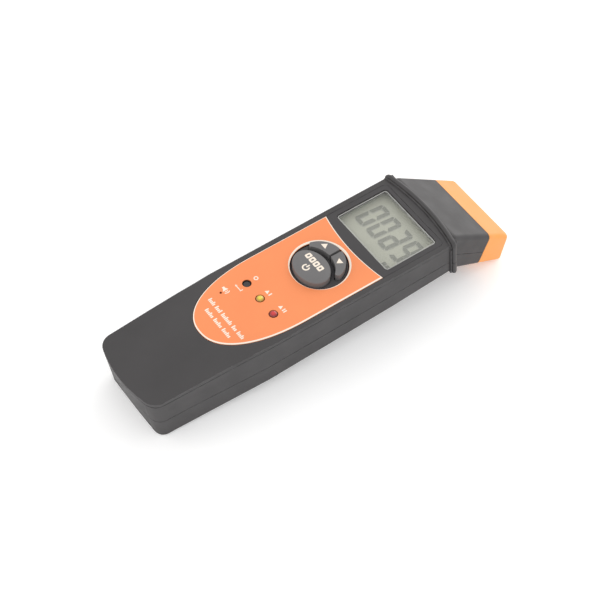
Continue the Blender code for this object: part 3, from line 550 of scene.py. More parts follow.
def blend(tree, factor, first, second):
    """Mixes two colours, each a socket or three linear values."""
    sides = [side if isinstance(side, bpy.types.NodeSocket) else (*side, 1.0) for side in (first, second)]
    mix = node(tree, "ShaderNodeMix", {0: factor, 6: sides[0], 7: sides[1]}, data_type="RGBA")
    return mix.outputs[2]


def edge_wear_and_highlight(tree, radius, amount):
    """A patchy mask that is strongest where the surface turns sharply: it marks rubbed wear and a painted
    highlight along edges.
    """
    rounded = node(tree, "ShaderNodeBevel", {"Radius": radius}, samples=4).outputs["Normal"]
    true_normal = node(tree, "ShaderNodeNewGeometry").outputs["Normal"]
    dot = node(tree, "ShaderNodeVectorMath", {0: rounded, 1: true_normal}, operation="DOT_PRODUCT")
    turn = spread(tree, dot.outputs["Value"], 0.995, 0.86)
    patches = spread(tree, noise(tree, 3.0 * MM, 4.0, 7.0), 0.42, 0.62)
    worn_and_lit = node(tree, "ShaderNodeMath", {0: turn, 1: patches}, operation="MULTIPLY").outputs[0]
    return node(tree, "ShaderNodeMath", {0: worn_and_lit, 1: amount}, operation="MULTIPLY").outputs[0]


def scaled(colour, factor):
    return tuple(min(part * factor, 1.0) for part in colour)


def solid_finish(
    name, colour, roughness, grain, depth, mottle, wear_and_highlight, worn_and_lit=None,
    metallic=0.0, coat=0.0, specular=0.5, alpha=1.0,
):
    """A moulded or painted surface: broad tone changes, fine grain, dust in the grain, and sharp edges made
    lighter as rubbed wear and as a painted highlight.

    The grain's size and the depth of its bump are in millimetres.
    """
    made = bpy.data.materials.new(name + "_finish")
    made.use_nodes = True
    tree = made.node_tree
    shader = tree.nodes["Principled BSDF"]
    cloudy = spread(tree, noise(tree, 28 * MM, 3.0), 0.3, 0.7)
    tone = blend(tree, cloudy, scaled(colour, 1 - mottle), scaled(colour, 1 + mottle))
    fine = noise(tree, grain * MM, 2.0, 3.0)
    specks = spread(tree, fine, 0.58, 0.75, 0.0, 0.35)
    tone = blend(tree, specks, tone, scaled(colour, 1.35))
    if wear_and_highlight:
        # Lighter sharp edges: rubbed wear, and a painted highlight where the edges catch light.
        mask = edge_wear_and_highlight(tree, 0.5 * MM, wear_and_highlight)
        tone = blend(tree, mask, tone, worn_and_lit or scaled([part + 0.05 for part in colour], 1.5))
    tree.links.new(tone, shader.inputs["Base Color"])
    smudges = spread(tree, noise(tree, 9 * MM, 4.0, 11.0), 0.3, 0.7, roughness - 0.06, roughness + 0.06)
    tree.links.new(smudges, shader.inputs["Roughness"])
    bumped(made, fine, depth * MM)
    plain = {"Metallic": metallic, "Coat Weight": coat, "Specular IOR Level": specular, "Alpha": alpha}
    for socket, value in {**plain, "Coat Roughness": 0.12}.items():
        shader.inputs[socket].default_value = value
    return made


def bumped(made, height, depth):
    """Gives a finish the relief of a texture, and returns it."""
    tree = made.node_tree
    bump = node(tree, "ShaderNodeBump", {"Height": height, "Distance": depth, "Strength": 1.0})
    tree.links.new(bump.outputs["Normal"], tree.nodes["Principled BSDF"].inputs["Normal"])
    return made


def tinted(made, factor, colour):
    """Blends a second colour into a finish, as far as the factor says, and returns it."""
    tree = made.node_tree
    base = tree.nodes["Principled BSDF"].inputs["Base Color"]
    tree.links.new(blend(tree, factor, base.links[0].from_socket, colour), base)
    return made


def lens_finish(name, lit_centre_colour, shaded_rim_colour, centre):
    """A tinted lamp lens with a clear gloss, painted lighter over its middle and with painted shade towards
    its rim.
    """
    made = solid_finish(name, lit_centre_colour, 0.16, 1.2, 0.004, 0.05, 0.0, coat=0.6)
    tree = made.node_tree
    vector_math = "ShaderNodeVectorMath"
    middle = POSE @ Vector((*centre, 0.0))
    offset = node(tree, vector_math, {0: place_in(tree), 1: middle}, operation="SUBTRACT").outputs[0]
    flat = node(tree, vector_math, {0: offset, 1: (1.0, 1.0, 0.0)}, operation="MULTIPLY").outputs[0]
    distance = node(tree, vector_math, {0: flat}, operation="LENGTH").outputs["Value"]
    # Painted shade: the colour darkens from the middle of the lens to its rim.
    return tinted(made, spread(tree, distance, 0.6 * MM, LAMP_RADIUS), shaded_rim_colour)


def board_finish(name):
    """Green solder mask over copper tracks, which run both ways in short straight lengths."""
    made = solid_finish(name, (0.02, 0.12, 0.05), 0.38, 0.8, 0.006, 0.15, 0.2, (0.35, 0.30, 0.16))
    tree = made.node_tree
    values = {"Vector": place_in(tree), "Scale": 95.0, "Brick Width": 0.9, "Row Height": 0.11}
    values["Mortar Size"] = 0.014
    tracks = node(tree, "ShaderNodeTexBrick", values).outputs["Fac"]
    return tinted(made, tracks, (0.06, 0.22, 0.09))


def foam_finish(name, colour):
    """Open-cell foam."""
    made = solid_finish(name, colour, 0.92, 0.5, 0.02, 0.2, 0.0)
    tree = made.node_tree
    values = {"Vector": place_in(tree), "Scale": 1 / (0.9 * MM)}
    cells = node(tree, "ShaderNodeTexVoronoi", values).outputs["Distance"]
    return bumped(made, cells, 0.25 * MM)


def steel_finish(name, colour, roughness):
    """Plated metal with fine turning marks."""
    return solid_finish(name, colour, roughness, 0.25, 0.004, 0.08, 0.3, (0.30, 0.28, 0.25), 1.0)


def battery_finish(name):
    """A printed steel jacket: dark body with a band of a second colour near the terminals."""
    made = solid_finish(name, (0.05, 0.055, 0.07), 0.32, 0.8, 0.004, 0.06, 0.35, (0.5, 0.5, 0.5))
    tree = made.node_tree
    low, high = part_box("battery_9v")
    along = node(tree, "ShaderNodeSeparateXYZ", {0: place_in(tree)}).outputs["Y"]
    start = low.y + (high.y - low.y) * 0.66
    return tinted(made, spread(tree, along, start, start + 0.3 * MM), (0.42, 0.25, 0.10))


# ---- housing


def leant(x, y, z):
    """A point of the handle's outline moved in towards the back, as the sides and the tail end lean."""
    at_tail = min(1.0, max(0.0, (FACE_DROP_START - y) / (FACE_DROP_START - LEAN_START)))
    draft = SIDE_DRAFT + (TAIL_DRAFT - SIDE_DRAFT) * at_tail
    off_middle = min(1.0, (x / (TAIL_WIDTH / 2)) ** 2)
    lean = TAIL_LEAN_MIDDLE + (TAIL_LEAN_CORNER - TAIL_LEAN_MIDDLE) * off_middle
    return x + x * draft * z / (HANDLE_WIDTH / 2), y - (lean * z if y < LEAN_START else 0.0), z


def drafted(mesh):
    """Leans the handle's block, and splits its twisted sides into triangles."""
    for vertex in mesh.vertices:
        vertex.co = leant(*vertex.co)
    with opened(mesh) as bm:
        bmesh.ops.triangulate(bm, faces=[face for face in bm.faces if abs(face.normal.z) < 0.5])
    return mesh


def trimmed(obj, profile, edge):
    """Cuts a block to its side view and rounds its edges."""
    carve(obj, "INTERSECT", slab("profile", profile, -REACH, REACH, upright=True))
    return soften(obj, edge) if edge else obj


def handle_form(edge, distance=0.0):
    """The handle's outside, or what is left of it a distance further in."""
    mesh = slab("handle", inset(handle_plan(), distance), -30 * MM, 5 * MM)
    return trimmed(new_object("handle_form", drafted(mesh)), inset(handle_profile(), distance), edge)


def head_form(edge, distance=0.0):
    obj = new_object("head_form", slab("head", inset(head_plan(), distance), -60 * MM, 20 * MM))
    return trimmed(obj, inset(head_profile(), distance), edge)


def lip_groove():
    """A ring that cuts the shadow line under the handle's rounded face edge, fainter towards the head."""
    proud, fade_length = 1 * MM, 80 * MM
    outside, deep = inset(handle_plan(), -proud), inset(handle_plan(), LIP_DEPTH)
    faded = []
    for out, inner in zip(outside, deep):
        strength = max(0.1, min(1.0, (LABEL_TOP - inner[1]) / fade_length))
        share = (proud + LIP_DEPTH * strength) / (proud + LIP_DEPTH)
        faded.append(tuple(Vector(out).lerp(Vector(inner), share)))
    rings = []
    for outline, rise in ((outside, 0.55), (faded, 0.1), (faded, -0.25), (outside, -1.3)):
        ring = []
        for x, y in outline:
            drop = FACE_DROP * max(0.0, min(1.0, (FACE_DROP_START - y) / (FACE_DROP_START - TAIL_END)))
            ring.append(leant(x, y, LIP_Z + rise * MM - drop))
        rings.append(ring)
    return looped("lip_groove", rings)


def parting_region(above, gap=0.0):
    far = 60 * MM if above else -80 * MM
    line = [(y, z - gap) for y, z in PARTING]
    outline = line + [(PARTING[-1][0], far), (PARTING[0][0], far)]
    return slab("parting", outline, -45 * MM, 45 * MM, upright=True)


def cavity():
    """The room inside the handle and head. The battery bay's floor is higher, to leave rails for the door."""
    keep = new_object("keep", block("keep", (-40 * MM, -120 * MM, BAY_FLOOR), (40 * MM, -50 * MM, 20 * MM)))
    carve(keep, "UNION", block("rest", (-40 * MM, -48.6 * MM, -30 * MM), (40 * MM, 80 * MM, 20 * MM)))
    room = handle_form(0, WALL)
    carve(room, "INTERSECT", keep)
    return carve(room, "UNION", head_form(0, WALL))


def collar_form():
    """A round bead that runs round the case, with a thin ridge on its tail side.

    Its section is in millimetres: how far out from the collar's path, and how far towards the head.
    """
    middle = (COLLAR_RISE - COLLAR_DEPTH) / 2
    path = rounded_rectangle(COLLAR_WIDTH / 2, COLLAR_RISE - middle, COLLAR_CORNER, (0.0, middle), 8)
    path = subdivided(path, 2 * MM)
    root = [(0.895 * x, middle + 0.64 * (z - middle)) for x, z in path]  # within the handle's walls
    bead = 1.35
    section = [(-1.15, 0.0), (-0.9, 0.2), (-0.9, 0.6), (-1.15, 0.8), (-1.35, 0.85)]
    section += arc((-bead, COLLAR_LENGTH / MM - bead), bead, -75, 90, 11)
    loops = [(root, 0.0)] + [(inset(path, -out * MM), ahead) for out, ahead in section]
    loops.append((root, COLLAR_LENGTH / MM))
    rings = []
    for loop, ahead in loops:
        ring = []
        for x, z in loop:
            swept = COLLAR_CENTRE_Y - COLLAR_SWEEP * min(1.0, abs(x) / (COLLAR_WIDTH / 2)) ** 2
            ring.append((x, swept + ahead * MM - COLLAR_LEAN * z, z))
        rings.append(ring)
    return new_object("collar", looped("collar", rings))


def subdivided(outline, longest):
    """The same outline with points added so that no side is longer than a length."""
    points = []
    for start, end in zip(outline, outline[1:] + outline[:1]):
        parts = max(1, round((Vector(end) - Vector(start)).length / longest))
        for i in range(parts):
            points.append(tuple(Vector(start).lerp(Vector(end), i / parts)))
    return points


def looped(name, rings):
    """A closed band through rings of points, the last of which joins the first."""
    bm = bmesh.new()
    rows = [[bm.verts.new(point) for point in ring] for ring in rings]
    for row, following in zip(rows, rows[1:] + rows[:1]):
        for i, vertex in enumerate(row):
            j = (i + 1) % len(row)
            bm.faces.new((vertex, row[j], following[j], following[i]))
    bmesh.ops.triangulate(bm, faces=bm.faces)
    bmesh.ops.recalc_face_normals(bm, faces=bm.faces)
    return mesh_of(bm, name)


def shell(edge, above):
    """One half of the handle, collar and head: hollow, with room for the battery and its leads."""
    obj = handle_form(edge)
    head = carve(head_form(HEAD_EDGE), "DIFFERENCE", slab("cap", beyond_seam(), -REACH, REACH, True))
    carve(obj, "UNION", head, collar_form())
    carve(obj, "DIFFERENCE", cavity())
    carve(obj, "INTERSECT", parting_region(above, 0.0 if above else SEAM))
    notch = block("lead_notch", (2 * MM, -52 * MM, -18 * MM), (12 * MM, -46 * MM, -8 * MM))
    bay = block("bay", (-BAY_HALF_WIDTH, BAY_ENDS[0], -40 * MM), (BAY_HALF_WIDTH, BAY_ENDS[1], -10 * MM))
    return carve(obj, "DIFFERENCE", notch, bay)


def at_height(z):
    """A test for points at a height."""
    return lambda point: abs(point.z - z) < 0.01 * MM


def off_seam(point):
    """How far a point is from the seam that the sensor cap meets."""
    (top_y, top_z), (under_y, under_z) = CAP_SEAM
    along = Vector((top_y - under_y, top_z - under_z)).normalized()
    return abs((point.y - under_y) * along.y - (point.z - under_z) * along.x)


def at_seams(gap):
    """A test for points on the parting line or on the face that the sensor cap meets."""

    def test(point):
        parted = abs(point.z - parting_z(point.y) + gap) < 0.03 * MM
        return parted or (off_seam(point) < 0.05 * MM and point.y > 70 * MM)

    return test


def face_holes(reach):
    """What cuts the holes for the keypad, the off button, the lamps and the sounder."""
    holes = [drum("keypad", KEYPAD_RADIUS, -reach, reach, 96)]
    for i, radius in enumerate((OFF_WELL_RADIUS, LAMP_RADIUS + FIT, LAMP_RADIUS + FIT)):
        holes.append(drum("row", radius, -reach, reach, 48, ((i - 1) * ROW_PITCH, ROW_Y)))
    return holes + [drum("sound", SOUND_HOLE_RADIUS, -reach, reach, 24, SOUND_HOLE)]


def front_shell():
    obj = shell(FACE_EDGE, True)
    carve(obj, "DIFFERENCE", lip_groove())
    plans = (label_plan(), surround_plan())
    rooms = [slab("room", inset(plan, -FIT), -LABEL_THICKNESS - FIT, THROUGH) for plan in plans]
    rooms.append(slab("window", window_plan(), -THROUGH, THROUGH))
    carve(obj, "DIFFERENCE", *rooms, *face_holes(THROUGH))
    bosses = [drum("boss", BOSS_RADIUS, BOARD_TOP + FIT, -1.6 * MM, 32, spot) for spot in CASE_SCREWS]
    carve(obj, "UNION", *bosses)
    pilots = [drum("pilot", SCREW_HOLE_RADIUS, -12 * MM, -3 * MM, 24, spot) for spot in CASE_SCREWS]
    carve(obj, "DIFFERENCE", *pilots)
    round_edges(obj, 0.2 * MM, at_seams(0.0))
    return round_edges(obj, 0.12 * MM, lambda p: abs(p.z) < 0.02 * MM and p.y < 58 * MM, 2)


def door_region(gap):
    """The battery door's block, which runs out past the tail along the back."""
    far, near = -130 * MM, DOOR_HEAD_END + gap
    below, thickness = -50 * MM, DOOR_THICKNESS + gap
    outline = [(far, below), (near, below), (near, back_z(near) + thickness), (far, back_z(far) + thickness)]
    half = DOOR_HALF_WIDTH + gap
    return slab("door_region", outline, -half, half, upright=True)


def rear_shell():
    obj = shell(BACK_EDGE, False)
    post_top = BOARD_TOP - 1.9 * MM
    posts = [drum("post", POST_RADIUS, back_z(y) + 1 * MM, post_top, 40, (x, y)) for x, y in CASE_SCREWS]
    carve(obj, "UNION", *posts)
    holes = [drum("well", WELL_RADIUS, -REACH, -16 * MM, 40, spot) for spot in CASE_SCREWS]
    holes += [drum("bore", SCREW_HOLE_RADIUS, -REACH, 0, 24, spot) for spot in CASE_SCREWS]
    carve(obj, "DIFFERENCE", *holes, door_region(FIT))
    round_edges(obj, 0.2 * MM, at_seams(SEAM))
    return round_edges(obj, 0.2 * MM, lambda p: abs(p.z - back_z(p.y)) < 0.05 * MM and p.y < 60 * MM, 2)


def battery_door():
    """The sliding door: an arrow that shows which way it opens, and ribs for the thumb."""
    door = carve(handle_form(BACK_EDGE), "INTERSECT", door_region(0.0))
    start = -60 * MM
    arrow = [(-6 * MM, start), (6 * MM, start), (0.0, start - 8 * MM)]
    cuts = [slab("arrow", arrow, -REACH, back_z(start) + 0.5 * MM)]
    for i in range(6):
        y = start - (13 + 2.4 * i) * MM
        outline = rounded_rectangle(8 * MM, 0.6 * MM, 0.59 * MM, (0.0, y), 4)
        cuts.append(slab("rib", outline, -REACH, back_z(y) + 0.5 * MM))
    carve(door, "DIFFERENCE", *cuts)
    return round_edges(door, 0.2 * MM, lambda p: abs(p.z - back_z(p.y)) < 0.12 * MM, 2)


def sensor_cap():
    """A hollow slip-on end with gas slots through its tip."""
    region = slab("region", beyond_seam(FIT), -REACH, REACH, upright=True)
    cap = carve(head_form(HEAD_EDGE), "INTERSECT", region)
    carve(cap, "DIFFERENCE", head_form(0, WALL))
    slots = []
    for x in (-12, -6, 0, 6, 12):
        outline = rounded_rectangle(1.2 * MM, 5.25 * MM, 1.15 * MM, (x * MM, -31.75 * MM), 6)
        slot = slab("slot", outline, 88.2 * MM, 110 * MM)
        slot.transform(Matrix(((1, 0, 0, 0), (0, 0, 1, 0), (0, 1, 0, 0), (0, 0, 0, 1))))
        slot.flip_normals()
        slots.append(slot)
    carve(cap, "DIFFERENCE", *slots)
    round_edges(cap, 0.3 * MM, lambda p: off_seam(p) < 0.5 * MM)
    return round_edges(cap, 0.35 * MM, lambda p: p.y > 93 * MM and abs(p.x) < 15 * MM)


# ---- face


def label_film():
    film = new_object("face_label_film", slab("label", label_plan(), -LABEL_THICKNESS, 0.0))
    carve(film, "DIFFERENCE", *face_holes(2 * MM))
    return round_edges(film, 0.1 * MM, at_height(0.0), 2)


def print_slab(outline, holes=()):
    return slab("print", outline, -0.01 * MM, INK, holes=holes)


def bar(x0, x1, y, height):
    middle, half = (x0 + x1) / 2, (x1 - x0) / 2
    radius = min(height, x1 - x0) * 0.3
    return rounded_rectangle(half, height / 2, radius, (middle, y), 4)


def label_print():
    """The white print: border, ring round the keypad, lamp marks, signs and plain strokes for words."""
    plan = label_plan()
    inner = [(x - 0.28 * MM, y + 0.15 * MM) for x, y in inset(plan, 0.58 * MM)]
    parts = [print_slab(inset(plan, 0.05 * MM), [inner])]
    circle = arc((-0.4 * MM, 0.5 * MM), KEYPAD_RADIUS + 0.85 * MM, 0, 357, 119)
    parts.append(print_slab(circle, [arc((0.0, 0.0), KEYPAD_RADIUS + 0.1 * MM, 0, 357, 119)]))
    mark_y = ROW_Y + 5.1 * MM
    ring, hole = (arc((-ROW_PITCH, mark_y), radius * MM, 0, 350, 35) for radius in (1.15, 0.65))
    parts.append(print_slab(ring, [hole]))
    for x, count in ((0.0, 1), (ROW_PITCH, 2)):
        parts.append(print_slab(placed([(-2.3, -1.0), (-0.1, -1.0), (-1.2, 1.0)], x, mark_y)))
        for i in range(count):
            start = x + (0.5 + 1.1 * i) * MM
            parts.append(print_slab(bar(start, start + 0.6 * MM, mark_y, 2.0 * MM)))
    parts += hook_sign(-ROW_PITCH, ROW_Y - 4.8 * MM)
    parts += speaker_sign(SOUND_HOLE[0], SOUND_HOLE[1] + 2.6 * MM)
    rows = (
        (-52.1 * MM, 2.2 * MM, (-13.0, -8.6), (-7.6, -3.6), (-2.6, 4.8), (5.8, 8.9), (9.9, 14.4)),
        (-56.6 * MM, 2.1 * MM, (-9.0, -3.2), (-2.2, 3.6), (4.6, 10.4)),
    )
    for y, height, *words in rows:
        for start, end in words:
            parts += word(start * MM, end * MM, y, height)
    return joined("label_print", parts)


def word(start, end, y, height):
    """A run of short upright strokes, which stands for a word without spelling one."""
    pitch = 0.95 * MM
    count = max(2, round((end - start) / pitch))
    step = (end - start) / count
    strokes = []
    for i in range(count):
        x = start + step * (i + 0.5)
        tall = height * (1.0 if i % 3 == 0 else 0.68)
        bottom = y - height / 2
        strokes.append(print_slab(bar(x - step * 0.36, x + step * 0.36, bottom + tall / 2, tall)))
    return strokes


def hook_sign(x, y):
    """A return arrow: a low line that turns up at its right, and a small head at its left."""
    left, right, top, half = -1.6, 2.0, 1.3, 0.22
    line = [(left, -half), (right + half, -half), (right + half, top), (right - half, top)]
    line += [(right - half, half), (left, half)]
    head = [(-2.4, 0.0), (-1.4, -0.7), (-1.4, 0.7)]
    return [print_slab(placed(outline, x, y)) for outline in (line, head)]


def speaker_sign(x, y):
    body = [(-2.1, -0.6), (-1.1, -0.6), (0.2, -1.5), (0.2, 1.5), (-1.1, 0.6), (-2.1, 0.6)]
    parts = [print_slab(placed(body, x, y))]
    for radius in (1.3, 2.2):
        outer = arc((x - 0.1 * MM, y), radius * MM, -42, 42, 10)
        inner = arc((x - 0.1 * MM, y), (radius - 0.42) * MM, 42, -42, 10)
        parts.append(print_slab(outer + inner))
    return parts


def surround_panel():
    plan = inset(surround_plan(), -0.2 * MM)
    panel = new_object("display_surround_panel", slab("surround", plan, -LABEL_THICKNESS, 0.0))
    carve(panel, "DIFFERENCE", slab("window", window_plan(), -THROUGH, THROUGH))
    return round_edges(panel, 0.15 * MM, at_height(0.0))


def display_lens():
    """The clear window: a stepped plate whose upper block fills the opening, with a polished edge."""
    plate = window_plan(1.2 * MM, 1.5 * MM, 6)
    lens = new_object("display_lens", slab("plate", plate, LENS_BOTTOM, -WALL - FIT))
    filling = window_plan(-FIT, WINDOW_CORNER - FIT, 6)
    carve(lens, "UNION", slab("lens", filling, -3.6 * MM, LENS_TOP))
    return round_edges(lens, 0.35 * MM, at_height(LENS_TOP))


def lens_rim_highlight():
    """A light rim round the clear window's top: a painted highlight where the lens edge catches light."""
    outer = window_plan(-FIT - 0.05 * MM, 1.25 * MM)
    inner = window_plan(-FIT - 0.45 * MM, 0.85 * MM)
    return new_object("lens_rim_highlight", slab("border", outer, -0.58 * MM, -0.5 * MM, holes=[inner]))


def segment_outline(kind, x, y, width, height, stroke):
    """One bar of a seven-bar figure whose lower left corner is at (x, y), leaning to the right."""
    half, lean, nick, corner = height / 2, 0.09, 0.15 * MM, 0.9 * MM
    if kind == "g":
        low, high = half - stroke / 2, half + stroke / 2
        points = [(stroke, low), (width - stroke, low), (width - 3 * nick, half), (width - stroke, high)]
        points += [(stroke, high), (3 * nick, half)]
    elif kind in "ad":
        outer, inner = (height, height - stroke) if kind == "a" else (0.0, stroke)
        points = [(stroke + nick, inner), (width - stroke - nick, inner), (width - corner - nick, outer)]
        points.append((corner + nick, outer))
    else:
        outer, inner = (width, width - stroke) if kind in "bc" else (0.0, stroke)
        far, near = (height, half) if kind in "bf" else (0.0, half)
        step = 1 if kind in "bf" else -1
        points = [(outer, near + step * nick), (inner, near + step * (stroke / 2 + nick))]
        points.append((inner, far - step * (stroke + nick)))
        points += [(outer - (outer - inner) * 0.35, far - step * nick * 2), (outer, far - step * corner)]
    return [(x + u + lean * v, y + v) for u, v in points]


def lcd_marks(name, base, shift=(0.0, 0.0)):
    """The figures of the reading and three small marks under them, as thin plates on the glass."""
    height, width, stroke, pitch = 16.0 * MM, 6.9 * MM, 1.95 * MM, 8.85 * MM
    left, bottom = -17.1 * MM + shift[0], 32.3 * MM + shift[1]
    thickness = 0.03 * MM
    parts = []
    for place, bars in enumerate(FIGURES):
        for kind in bars:
            outline = segment_outline(kind, left + place * pitch, bottom, width, height, stroke)
            parts.append(slab("figure", outline, base, base + thickness))
    for x0, x1 in ((12.5, 14.6), (15.1, 17.2), (17.7, 19.0)):
        centre = ((x0 + x1) / 2 * MM + shift[0], 27.2 * MM + shift[1])
        unit = rounded_rectangle((x1 - x0) / 2 * MM, 1.1 * MM, 0.5 * MM, centre, 4)
        parts.append(slab("unit", unit, base, base + thickness))
    return joined(name, parts)


def dome_key(name, plan, corner, rim, crown, stem, steps):
    """A key with rounded corners and rim and a crown that rises in steps, on a stem to the board."""
    key = new_object(name, slab(name, plan, -4.4 * MM, KEY_EDGE_HEIGHT + 0.7 * MM))
    with opened(key.data) as bm:
        if corner:
            upright = [e for e in bm.edges if abs(e.verts[0].co.z - e.verts[1].co.z) > MM]
            bevelled(bm, [e for e in upright if e.calc_face_angle(0.0) > radians(35)], corner, 6)
        top_edges = [e for e in bm.edges if min(v.co.z for v in e.verts) > KEY_EDGE_HEIGHT]
        bevelled(bm, top_edges, rim, 5, True)
        for i in range(steps):
            bm.normal_update()
            upper = [face for face in bm.faces if face.calc_center_median().z > KEY_EDGE_HEIGHT]
            level = [face for face in upper if face.normal.z > 0.97]
            largest = max(level, key=lambda face: face.calc_area())
            lift = crown * (1 - i / steps) / steps
            bmesh.ops.inset_region(bm, faces=[largest], thickness=0.75 * MM, depth=lift)
    return carve(key, "UNION", drum("stem", 2.0 * MM, STEM_END, -4.0 * MM, 32, stem))


def draped_print(name, outlines, key, lift=INK):
    """Print laid on a key's curved top: each outline is divided and dropped onto the surface."""
    graph = bpy.context.evaluated_depsgraph_get()
    target = key.evaluated_get(graph)
    bm = bmesh.new()
    for outline, holes in outlines:
        part = slab("print", outline, 0.0, 0.05 * MM, holes=holes)
        piece = bmesh.new()
        piece.from_mesh(part)
        bmesh.ops.triangulate(piece, faces=piece.faces)
        long_edges = [e for e in piece.edges if e.calc_length() > 0.6 * MM]
        bmesh.ops.subdivide_edges(piece, edges=long_edges, cuts=2)
        for vertex in piece.verts:
            start = Vector((vertex.co.x, vertex.co.y, 10 * MM))
            hit, spot, _, _ = target.ray_cast(start, Vector((0.0, 0.0, -1.0)))
            base = spot.z if hit else KEY_EDGE_HEIGHT
            vertex.co.z = base + (lift if vertex.co.z > 0.02 * MM else -0.05 * MM)
        scratch = mesh_of(piece, "print")
        bm.from_mesh(scratch)
    return new_object(name, mesh_of(bm, name))


def power_sign(centre, radius):
    """The common power sign: a ring open at its top, with a stroke through the gap."""
    outer = arc(centre, radius, -230, 50, 30)
    inner = arc(centre, radius * 0.62, 50, -230, 30)
    left, right = centre[0] - radius * 0.19, centre[0] + radius * 0.19
    bottom, top = centre[1] + radius * 0.12, centre[1] + radius * 1.12
    stroke = [(left, bottom), (right, bottom), (right, top), (left, top)]
    return [(outer + inner, ()), (stroke, ())]


def triangle_sign(x, y, up):
    """A solid triangle that points up or down."""
    half, tall = 1.75 * MM, 1.35 * MM * (1 if up else -1)
    return [([(x - half, y - tall), (x + half, y - tall), (x, y + tall)], ())]


# ---- build


FINISHES = {
    # The case's strong edge setting paints a highlight line along its rounded edges as well as wear.
    "case": solid_finish("case_plastic", (0.044, 0.041, 0.042), 0.52, 0.5, 0.014, 0.10, 0.6),
    "orange": solid_finish("orange_plastic", (0.93, 0.36, 0.075), 0.42, 0.6, 0.008, 0.05, 0.2),
    "label": solid_finish("label_film", (0.90, 0.27, 0.095), 0.5, 0.4, 0.006, 0.04, 0.0),
    "print": solid_finish("white_ink", (0.90, 0.80, 0.68), 0.55, 0.3, 0.004, 0.04, 0.0),
    "panel": solid_finish("panel_film", (0.040, 0.037, 0.039), 0.42, 0.5, 0.008, 0.08, 0.2),
    "window": solid_finish("window_clear", (0.80, 0.82, 0.80), 0.12, 8, 0.002, 0.05, 0.0, alpha=0.07),
    # A light, half-clear colour for the window's rim: a painted highlight.
    "border": solid_finish("lens_edge_highlight", (0.62, 0.62, 0.60), 0.35, 1, 0.003, 0.05, 0.0, alpha=0.6),
    "lcd": solid_finish("display_glass", (0.42, 0.425, 0.345), 0.34, 0.25, 0.002, 0.03, 0.0),
    "figures": solid_finish("figure", (0.20, 0.205, 0.17), 0.4, 0.25, 0.002, 0.04, 0.0),
    "figure_shadows": solid_finish("shadow", (0.31, 0.315, 0.27), 0.4, 0.25, 0.002, 0.04, 0.0),
    "key": solid_finish("key_rubber", (0.150, 0.146, 0.147), 0.62, 0.35, 0.010, 0.08, 0.25),
    "web": solid_finish("dark_rubber", (0.050, 0.047, 0.050), 0.7, 0.35, 0.010, 0.10, 0.1),
    "black": solid_finish("black_plastic", (0.015, 0.015, 0.016), 0.45, 0.4, 0.008, 0.15, 0.2),
    "board": board_finish("circuit_board"),
    "steel": steel_finish("zinc_steel", (0.60, 0.60, 0.58), 0.34),
    "can": steel_finish("aluminium_can", (0.72, 0.72, 0.73), 0.28),
    "foam": foam_finish("pad_foam", (0.07, 0.07, 0.075)),
    "white": solid_finish("white_plastic", (0.70, 0.70, 0.66), 0.5, 0.6, 0.008, 0.05, 0.1),
    "red_wire": solid_finish("red_insulation", (0.45, 0.015, 0.015), 0.4, 0.5, 0.006, 0.1, 0.0),
    "battery": battery_finish("battery_wrap"),
    "membrane": solid_finish("filter_membrane", (0.76, 0.76, 0.72), 0.9, 0.2, 0.03, 0.05, 0.0),
    "yellow": lens_finish("yellow_lens", (0.82, 0.66, 0.06), (0.30, 0.12, 0.02), (0.0, ROW_Y)),
    "red": lens_finish("red_lens", (0.60, 0.020, 0.025), (0.12, 0.008, 0.010), (ROW_PITCH, ROW_Y)),
}

CARRIED_OVER = {
    "board": ("main_board", "sensor_board"),
    "steel": [f"board_screw_{side}" for side in ("left", "right")]
    + [f"case_screw_{side}_{end}" for side in ("left", "right") for end in ("head", "tail")],
    "can": ("clock_crystal", "board_capacitor"),
    "black": (
        "controller_chip",
        "buzzer",
        "display_frame",
        "battery_snap",
        "battery_lead_black",
        "sensor_carrier",
    ),
    "web": ("elastomer_strip_head", "elastomer_strip_tail", "sensor_cable", "sensor_gasket"),
    "red_wire": ("battery_lead_red",),
    "battery": ("battery_9v",),
    "foam": ("battery_pad",),
    "white": ("sensor_header", "sensor_cell"),
    "membrane": ("filter_disc",),
    "lcd": ("display_panel",),
}


def dress_carried_over():
    """Gives the CAD nodes that stay their finishes."""
    for finish, names in CARRIED_OVER.items():
        for name in names:
            mesh = frame["nodes"][name].data
            mesh.materials.clear()
            mesh.materials.append(FINISHES[finish])


def build_housing():
    """The two case halves, the battery door and the sensor cap."""
    mouldings = (
        ("front_moulding", front_shell, "case", "front_shell", "case"),
        ("rear_moulding", rear_shell, "case", "rear_shell", "case"),
        ("door_moulding", battery_door, "battery_door", "battery_door", "case"),
        ("cap_moulding", sensor_cap, "sensor_cap", "sensor_cap", "orange"),
    )
    for name, form, body, cad_node, finish in mouldings:
        finished(form(), finish, body, [cad_node]).name = name


def build_face():
    """The label, the display surround, the window and the reading behind it."""
    finished(label_film(), "label", "case", ["face_label"])
    finished(label_print(), "print", "case", [])
    finished(surround_panel(), "panel", "case", ["display_surround"])
    finished(display_lens(), "window", "case", ["display_window"])
    finished(lens_rim_highlight(), "border", "case", [])
    finished(lcd_marks("lcd_figures", -4.2 * MM), "figures", "case", [])
    shadows = lcd_marks("lcd_figure_shadows", -4.27 * MM, (0.5 * MM, -0.5 * MM))
    finished(shadows, "figure_shadows", "case", [])


